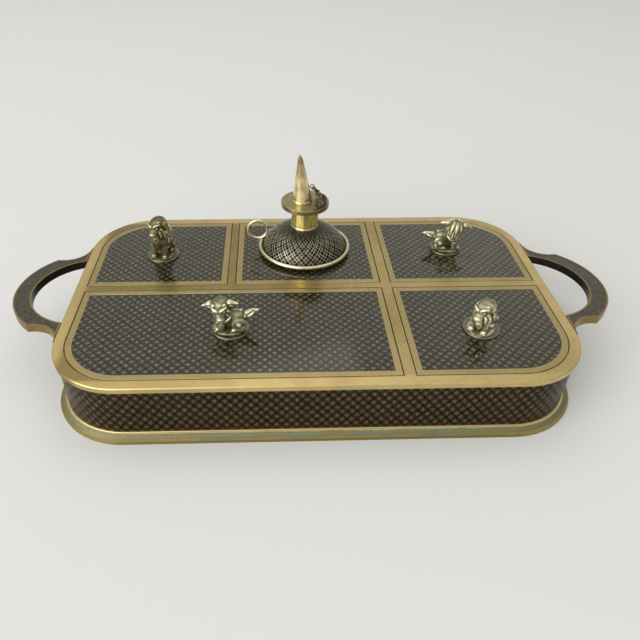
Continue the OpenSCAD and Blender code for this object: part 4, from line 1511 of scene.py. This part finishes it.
@dataclass
class Lamp:
    """The finger lamp: drip pan, enamelled oil dome, neck and finger ring.

    The pan's underside is flat as far as pan_foot_r, and its edge stands edge_lift over the
    lid. The pan is turned from a section that stops axis_r short of the axis.
    """

    body: str = "lamp_body"
    wall: float = 0.0013
    neck_wall: float = 0.0015
    pan_t: float = 0.0012
    pan_foot_r: float = 0.0272
    edge_lift: float = 0.0018
    axis_r: float = 0.0001

    def foot(self, node: str) -> tuple[float, float, float]:
        """Gives the place on the lamp's axis at the foot of a node."""
        x, y, _ = centre_of("lamp_neck")
        return x, y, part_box(node)[0].z

    def pan(self) -> bpy.types.Object:
        """Turns the pan: a flat floor, and an underside that rises to a rolled edge.

        The underside rises by edge_lift x s x s x (3 - 2s), for s from 0 at its foot to 1
        at the edge, which is round.

        Returns:
            The pan.
        """
        low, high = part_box("lamp_pan")
        outer, roll = (high.x - low.x) / 2, (high.z - low.z) / 2
        end = math.degrees(math.pi - math.asin(self.pan_t / roll - 1))
        s = np.linspace(0, 1, 10)[:-1]
        run = outer - roll - self.pan_foot_r
        rise = np.stack([self.pan_foot_r + run * s, self.edge_lift * s * s * (3 - 2 * s)], -1)
        edge = arc((outer - roll, self.edge_lift + roll), roll, -90, end, 14)
        floor = [(edge[-1, 0], self.pan_t), (self.axis_r, self.pan_t)]
        profile = np.concatenate([[(self.axis_r, 0.0)], rise, edge, floor])
        pan = revolve("Lamp_pan", profile, self.foot("lamp_pan"), 160)
        dress(pan, FINISH.pan_brass)
        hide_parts("lamp_pan")
        LOG.info("lamp pan")
        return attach(pan, self.body)

    def dome(self) -> bpy.types.Object:
        """Turns the dome from a quarter ellipse, with a thick wall and a flat seat for the neck.

        Point t of the ellipse is (r cos t, h sin t), and the ellipse inside it is one wall
        smaller. The flat coordinates are the angle x the foot's radius, and the length
        along the section, so that the wire net closes up towards the top.

        Returns:
            The dome.
        """
        low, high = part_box("lamp_dome")
        radius, top = (high.x - low.x) / 2, high.z - low.z
        neck_low, neck_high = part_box("lamp_neck")
        neck_r = (neck_high.x - neck_low.x) / 2
        rise = top / math.sqrt(1 - (neck_r / radius) ** 2)
        t = np.linspace(0, math.acos(neck_r / radius), 40)
        outside = np.stack([radius * np.cos(t), rise * np.sin(t)], -1)
        bore = neck_r - self.neck_wall
        inner_r, inner_rise = radius - self.wall, rise - self.wall
        t = np.linspace(math.acos(bore / inner_r), 0, 24)
        inside = np.stack([inner_r * np.cos(t), inner_rise * np.sin(t)], -1)
        profile = np.concatenate([outside, [(bore, top)], inside])
        angle = np.linspace(0, TAU, 193)
        points = around(profile, angle, self.foot("lamp_dome"))
        flat = np.stack(np.broadcast_arrays(angle[:, None] * radius, lengths_along(profile)), -1)
        dome = tidy(Sheet("Lamp_dome", points, False, True, flat).build())
        dress(dome, FINISH.dome_enamel)
        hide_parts("lamp_dome")
        LOG.info("lamp dome")
        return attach(dome, self.body)

    def neck(self) -> bpy.types.Object:
        """Turns the neck: a plain tube with raised bands at its foot and lip.

        Returns:
            The neck.
        """
        low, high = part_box("lamp_neck")
        r, h = (high.x - low.x) / 2, high.z - low.z
        bore = r - self.neck_wall
        profile = round_profile([
            (bore, 0.0, 0.0002), (r, 0.0, 0.0003), (r, 0.0013, 0.0003), (r - 0.00025, 0.0017, 0.0003),
            (r - 0.0002, h - 0.0016, 0.0004), (r, h - 0.0012, 0.0003), (r, h, 0.0004), (bore, h, 0.0003)])
        neck = revolve("Lamp_neck", profile, self.foot("lamp_neck"))
        dress(neck, FINISH.neck_brass)
        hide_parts("lamp_neck")
        LOG.info("lamp neck")
        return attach(neck, self.body)

    def build(self) -> None:
        """Builds the lamp."""
        self.pan()
        self.dome()
        self.neck()
        ring = edge_node("finger_ring", self.body, FINISH.pan_brass, 0.0001)
        ring.name = "Finger_ring"


@dataclass
class Burner:
    """The burner: plate with its plug, wick tube and wick."""

    body: str = "burner_body"

    def build(self) -> None:
        """Builds and dresses the burner."""
        edge_node("burner_plate", self.body, FINISH.disc_bronze, 0.0005)
        edge_node("wick_tube", self.body, FINISH.neck_brass, 0.00015)
        dress_node("wick", FINISH.cotton)
        dress_node("chain_eye", FINISH.chain_bronze)


@dataclass
class Snuffer:
    """The rolled brass cone that puts out the flame, with its loop.

    Top_r is its radius at the shoulder and tip its height from there to the point. Inset
    keeps the lap within the cone's own size, and crown is the metal over the hollow.
    """

    body: str = "snuffer_body"
    wall: float = 0.0006
    top_r: float = 0.00195
    tip: float = 0.0048
    tip_r: float = 0.00015
    inset: float = 0.00012
    crown: float = 0.001
    lean: float = 0.0019
    slant: float = 0.0008
    bead: float = 0.00035
    bead_z: float = 0.0006
    bead_w: float = 0.0005
    dent: float = 0.0001
    lap_from: float = math.radians(250)
    lap: float = math.radians(26)

    def sections(self, foot_r: float, body_h: float) -> tuple[Array, Array, Array, Array]:
        """Gives the outer and the inner line of the cone's section.

        The outer radius falls along a straight line from foot to shoulder, then as the
        power 0.7 of the way left to the point. A bead, which is a bell curve of bead x
        exp(-((z - bead_z) / bead_w)^2), stands round the foot.

        Args:
            foot_r: Radius of the foot.
            body_h: Height of the shoulder.

        Returns:
            Radii and heights outside from foot to point, and inside from crown to foot.
        """
        slope = (self.top_r - foot_r) / body_h
        z_out = np.concatenate([
            np.linspace(0, body_h, 60), body_h + self.tip * np.linspace(0.08, 1, 14)])
        bead = self.bead * np.exp(-(((z_out - self.bead_z) / self.bead_w) ** 2))
        straight = foot_r + slope * z_out + bead
        point = self.top_r * (1 - self.to_tip(z_out, body_h)) ** 0.7 + self.tip_r
        r_out = np.where(z_out <= body_h, straight, point)
        z_in = np.concatenate([[body_h - self.crown], np.linspace(body_h - 1.5 * self.crown, 0, 24)])
        r_in = np.concatenate([[0.0001], foot_r - self.wall + slope * z_in[1:]])
        return r_out, z_out, r_in, z_in

    def to_tip(self, z: Array, body_h: float) -> Array:
        """Gives the share of the way from the shoulder to the point."""
        return np.clip((z - body_h) / self.tip, 0, 1)

    def build(self) -> bpy.types.Object:
        """Rolls the cone from a sheet whose edge laps over itself.

        The lap adds half a wall x (1 - a / lap) to the radius over the angle lap, and
        shallow dents add waves. The axis leans by lean x (z / height), and by slant more
        towards the point.

        Returns:
            The cone.
        """
        low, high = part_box("snuffer_cone")
        foot_r, tall = (high.y - low.y) / 2, high.z - low.z
        x0, y0 = high.x - foot_r, (low.y + high.y) / 2
        body_h = tall - self.tip
        r_out, z_out, r_in, z_in = self.sections(foot_r, body_h)
        r, z = np.concatenate([r_out, r_in])[None], np.concatenate([z_out, z_in])[None]
        outer = np.arange(r.shape[1])[None] < len(z_out)
        angle = np.linspace(0, TAU, 96, endpoint=False)[:, None]
        turn = np.mod(angle - self.lap_from, TAU)
        lap_rise = self.wall / 2 * np.clip(1 - turn / self.lap, 0, 1) * np.clip(turn / 0.04, 0, 1)
        dents = self.dent * np.sin(3 * angle + z * 420) * np.sin(z * 260 + 1.3)
        fade = np.clip(r / foot_r * 1.4, 0, 1) * np.clip(z / 0.002, 0.3, 1)
        skin = r + np.where(outer, (lap_rise + dents) * fade - self.inset, 0)
        shift = self.lean * z / tall + self.slant * self.to_tip(z, body_h) * outer
        points = np.stack(np.broadcast_arrays(
            x0 - shift + skin * np.cos(angle), y0 + skin * np.sin(angle), z + low.z), -1)
        cone = tidy(Sheet("Snuffer_cone", points, True, True).build(), 50)
        dress(cone, FINISH.cone_brass)
        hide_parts("snuffer_cone")
        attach(cone, self.body)
        LOG.info("snuffer cone")
        dress_node("snuffer_loop", FINISH.chain_bronze)
        return cone


@dataclass
class Chain:
    """The fine chain between the burner's eye and the snuffer's loop, lying in a heap.

    The heap's places are distances from the burner's axis and heights over its plate, in
    millimetres, from the eye's end to the loop's. Link_l and link_w stretch a round link
    along and across the chain, and even and odd links are rolled by the two angles.
    Pull_from is not used.
    """

    wire: float = 0.0004
    link_r: float = 0.0013
    pitch: float = 0.00195
    link_l: float = 1.06
    link_w: float = 0.9
    rolls: tuple[float, float] = (-48.0, 42.0)
    link_steps: int = 14
    wire_steps: int = 6
    eye_rise: float = 0.0016
    pull_from: float = 0.0145
    heap: tuple[tuple[float, float, float], ...] = (
        (7.0, -11.6, 1.5), (10.2, -8.6, 1.5), (12.8, -4.4, 1.5), (13.0, 0.8, 1.6), (10.4, 5.2, 1.6),
        (7.8, 4.2, 2.6), (9.6, 0.6, 4.0), (12.2, -2.8, 3.8), (10.6, -4.4, 4.6), (8.8, -0.6, 5.6),
        (7.6, 2.6, 5.8), (6.2, 1.0, 7.4))

    def plate(self) -> Array:
        """Gives the middle of the burner plate's top."""
        return np.array([*centre_of("burner_plate")[:2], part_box("burner_plate")[1].z])

    def route(self) -> Array:
        """Gives the chain's middle line as a smooth curve from the eye over the heap to the loop.

        Between two places a and b the curve is a + (b - a) (3t^2 - 2t^3) + m (t^3 - 2t^2 + t)
        + n (t^3 - t^2), where the slopes m and n at a place are half the span from the place
        before it to the place after.

        Returns:
            Points one pitch apart.
        """
        plate = self.plate()
        eye = centre_of("chain_eye") - plate
        eye[2] = self.eye_rise
        loop = centre_of("snuffer_loop") - plate
        spots = np.vstack([eye, np.array(self.heap) * MM, loop])
        slope = (np.vstack([spots[1:], spots[-1:]]) - np.vstack([spots[:1], spots[:-1]])) / 2
        t = np.linspace(0, 1, 30, endpoint=False)[:, None, None]
        curve = (spots[:-1] + np.diff(spots, axis=0) * (3 * t**2 - 2 * t**3)
                 + slope[:-1] * (t**3 - 2 * t**2 + t) + slope[1:] * (t**3 - t**2))
        curve = np.vstack([curve.transpose(1, 0, 2).reshape(-1, 3), loop])
        length = lengths_along(curve)
        at = np.linspace(0, length[-1], round(length[-1] / self.pitch) + 1)
        return np.stack([np.interp(at, length, curve[:, i]) for i in range(3)], -1) + plate

    def build(self) -> bpy.types.Object:
        """Threads the links: each is a ring across the line, rolled the other way from the last.

        Point (a, b) of a link is m + R d + w (cos b d + sin b n), with d = cos a x link_l
        along the line + sin a x link_w across it, and n square to both.

        Returns:
            The chain.
        """
        line = self.route()
        middle = line[1:-1]
        along = line[2:] - line[:-2]
        along = along / np.linalg.norm(along, axis=1, keepdims=True)
        up = np.array([0.0, 0.0, 1.0]) - along * along[:, 2:]
        up = up / np.linalg.norm(up, axis=1, keepdims=True)
        links = len(middle)
        roll = np.radians(np.array(self.rolls)[np.arange(links) % 2])[:, None]
        across = np.cos(roll) * np.cross(along, up) + np.sin(roll) * up
        a = np.linspace(0, TAU, self.link_steps, endpoint=False)[None, :, None, None]
        b = np.linspace(0, TAU, self.wire_steps, endpoint=False)[None, None, :, None]
        long, wide, deep = (v[:, None, None, :] for v in (along, across, np.cross(along, across)))
        ring = np.cos(a) * long * self.link_l + np.sin(a) * wide * self.link_w
        skin = self.wire * (np.cos(b) * ring + np.sin(b) * deep)
        points = middle[:, None, None] + self.link_r * ring + skin
        quads = grid_faces(self.link_steps, self.wire_steps, True, True)
        first = np.arange(links) * self.link_steps * self.wire_steps
        faces = (quads[None] + first[:, None, None]).reshape(-1, 4)
        chain = tidy(new_piece("Chain", points.reshape(-1, 3), faces), 80)
        dress(chain, FINISH.chain_bronze)
        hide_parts("lamp_chain", "snuffer_links")
        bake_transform(chain)
        LOG.info("chain of %d links", links)
        return chain


# ---------------------------------------------------------------- studio


def turned(axes: Sequence[Array], place: Sequence[float]) -> Matrix:
    """Gives the matrix of an object from the directions of its X, Y and Z, and its place."""
    rows = [[*row, spot] for row, spot in zip(np.stack(axes, 1), place)]
    return Matrix([*rows, [0.0, 0.0, 0.0, 1.0]])


@dataclass
class Studio:
    """Camera, pale floor and soft lights.

    The camera's focal length and centre are lengths in a frame that is frame_px wide.
    """

    camera_at: tuple[float, float, float] = (-0.025786, -0.316134, 0.260413)
    yaw: float = 0.0358
    pitch: float = 0.6644
    roll: float = 0.0075
    focal_px: float = 606.17
    centre_px: float = 290.0
    frame_px: float = 640.0
    sensor_mm: float = 36.0
    floor_half_l: float = 8.0
    floor_front: float = -3.0
    floor_back: float = 2.2
    cove_r: float = 0.6
    backdrop_h: float = 3.2
    floor_colour: Colour = (0.63, 0.64, 0.66)
    room_colour: Colour = (1.0, 0.97, 0.87)
    low_light: float = 0.26
    high_light: float = 1.0
    bright_side: tuple[float, float, float] = (-0.18, 0.04, 0.96)

    def camera(self) -> None:
        """Sets the camera from its place, its three angles and its focal length."""
        level = math.cos(self.pitch)
        forward = np.array([
            math.sin(self.yaw) * level, math.cos(self.yaw) * level, -math.sin(self.pitch)])
        right = np.array([math.cos(self.yaw), -math.sin(self.yaw), 0.0])
        up = np.cross(right, forward)
        rolled_right = math.cos(self.roll) * right + math.sin(self.roll) * up
        rolled_up = -math.sin(self.roll) * right + math.cos(self.roll) * up
        data = bpy.data.cameras.new("Camera")
        data.sensor_width = self.sensor_mm
        data.lens = self.focal_px / self.frame_px * self.sensor_mm
        data.shift_x = (self.frame_px / 2 - self.centre_px) / self.frame_px
        data.clip_start, data.clip_end = 0.01, 20.0
        camera = bpy.data.objects.new("Camera", data)
        camera.matrix_world = turned((rolled_right, rolled_up, -forward), self.camera_at)
        bpy.context.scene.collection.objects.link(camera)
        bpy.context.scene.camera = camera

    def floor(self) -> None:
        """Lays a wide pale floor that curves up into a backdrop far behind.

        Its section is straight, then the quarter circle (b + r sin a, r - r cos a), then
        upright.
        """
        a = np.linspace(0.1, math.pi / 2, 14)
        y = np.concatenate([np.linspace(self.floor_front, self.floor_back, 12),
                            self.floor_back + self.cove_r * np.sin(a), [self.floor_back + self.cove_r]])
        z = np.concatenate([np.zeros(12), self.cove_r - self.cove_r * np.cos(a), [self.backdrop_h]])
        x = np.linspace(-self.floor_half_l, self.floor_half_l, 33)
        points = np.stack(np.broadcast_arrays(x[:, None], y[None], z[None]), -1)
        floor = Sheet("Floor", points).build()
        graph = Graph("Pale_Floor")
        graph.set(Base_Color=self.floor_colour, Roughness=0.75, Specular_IOR_Level=0.2)
        floor.data.materials.append(graph.material)

    def light(self, name: str, place: Sequence[float], aim: Sequence[float], size: tuple[float, float],
              power: float, colour: Colour = (1.0, 1.0, 1.0)) -> None:
        """Hangs one soft lamp.

        Args:
            name: Name of the lamp.
            place: Where it hangs.
            aim: What it points at.
            size: Width and height of its panel.
            power: Its power in watts.
            colour: Its colour.
        """
        data = bpy.data.lights.new(name, "AREA")
        data.shape, data.size, data.size_y = "RECTANGLE", *size
        data.energy, data.color = power, colour
        lamp = bpy.data.objects.new(name, data)
        lamp.visible_camera = False
        back = np.array(place, float) - np.array(aim, float)
        back = back / np.linalg.norm(back)
        across = np.cross((0.0, 0.0, 1.0) if abs(back[2]) < 0.99 else (0.0, 1.0, 0.0), back)
        across = across / np.linalg.norm(across)
        lamp.matrix_world = turned((across, np.cross(back, across), back), place)
        bpy.context.scene.collection.objects.link(lamp)

    def room(self) -> None:
        """Lights the room with a warm grey that brightens towards the bright side."""
        world = bpy.data.worlds.new("Room")
        bpy.context.scene.world = world
        world.use_nodes = True
        tree = world.node_tree
        background = tree.nodes["Background"]
        toward = tree.nodes.new("ShaderNodeTexCoord")
        along = tree.nodes.new("ShaderNodeVectorMath")
        along.operation = "DOT_PRODUCT"
        along.inputs[1].default_value = self.bright_side
        rise = tree.nodes.new("ShaderNodeMapRange")
        tree.links.new(toward.outputs["Generated"], along.inputs[0])
        tree.links.new(along.outputs["Value"], rise.inputs["Value"])
        rise.inputs["From Min"].default_value = -0.3
        rise.inputs["To Min"].default_value = self.low_light
        rise.inputs["To Max"].default_value = self.high_light
        tree.links.new(rise.outputs["Result"], background.inputs["Strength"])
        background.inputs["Color"].default_value = (*self.room_colour, 1.0)

    def build(self) -> None:
        """Sets up camera, floor and lights, with plain colours."""
        bpy.context.scene.view_settings.view_transform = "Standard"
        self.camera()
        self.floor()
        self.room()
        self.light("Window", place=(-2.08, -1.92, 1.68), aim=(0, 0, 1.3), size=(3.6, 2.8), power=102.0,
                   colour=(1.0, 0.99, 0.96))
        self.light("Ceiling", place=(-0.2, 0.5, 1.6), aim=(0, 0, 0), size=(1.6, 1.6), power=4.5,
                   colour=(1.0, 0.98, 0.95))
        self.light("Backdrop", place=(1.5, 1.5, 1.9), aim=(1.4, 2.8, 1.9), size=(1.0, 1.0), power=7.5)
        LOG.info("studio")


def main() -> None:
    """Builds every sub-assembly in order."""
    logging.basicConfig(level=logging.INFO, format="%(name)s: %(message)s")
    Studio().build()
    Tray().build()
    for place in ("front_left", "front_right", "rear_left", "rear_right"):
        Lid(place).build()
    Lid("rear_centre", knob=False).build()
    Lion("front_left", Pose.STANDING, turn=0, look=-8, finish=FINISH.lion_bronze,
         hood=0.86, nod=18).build()
    Lion("front_right", Pose.STANDING, turn=52, look=-104, finish=FINISH.lit_copy_bronze,
         ears=0.35, hood=1.02, nod=4, tail_lift=0.0).build()
    Lion("rear_left", Pose.SITTING, turn=78, look=-108, finish=FINISH.sitting_bronze,
         ears=0.35, hood=0.95, nod=8, head_size=1.17).build()
    Lion("rear_right", Pose.STANDING, turn=176, look=0, finish=FINISH.lion_bronze,
         nod=4, tail_lift=0.6).build()
    Lamp().build()
    Burner().build()
    Snuffer().build()
    Chain().build()


if __name__ == "__main__":
    main()
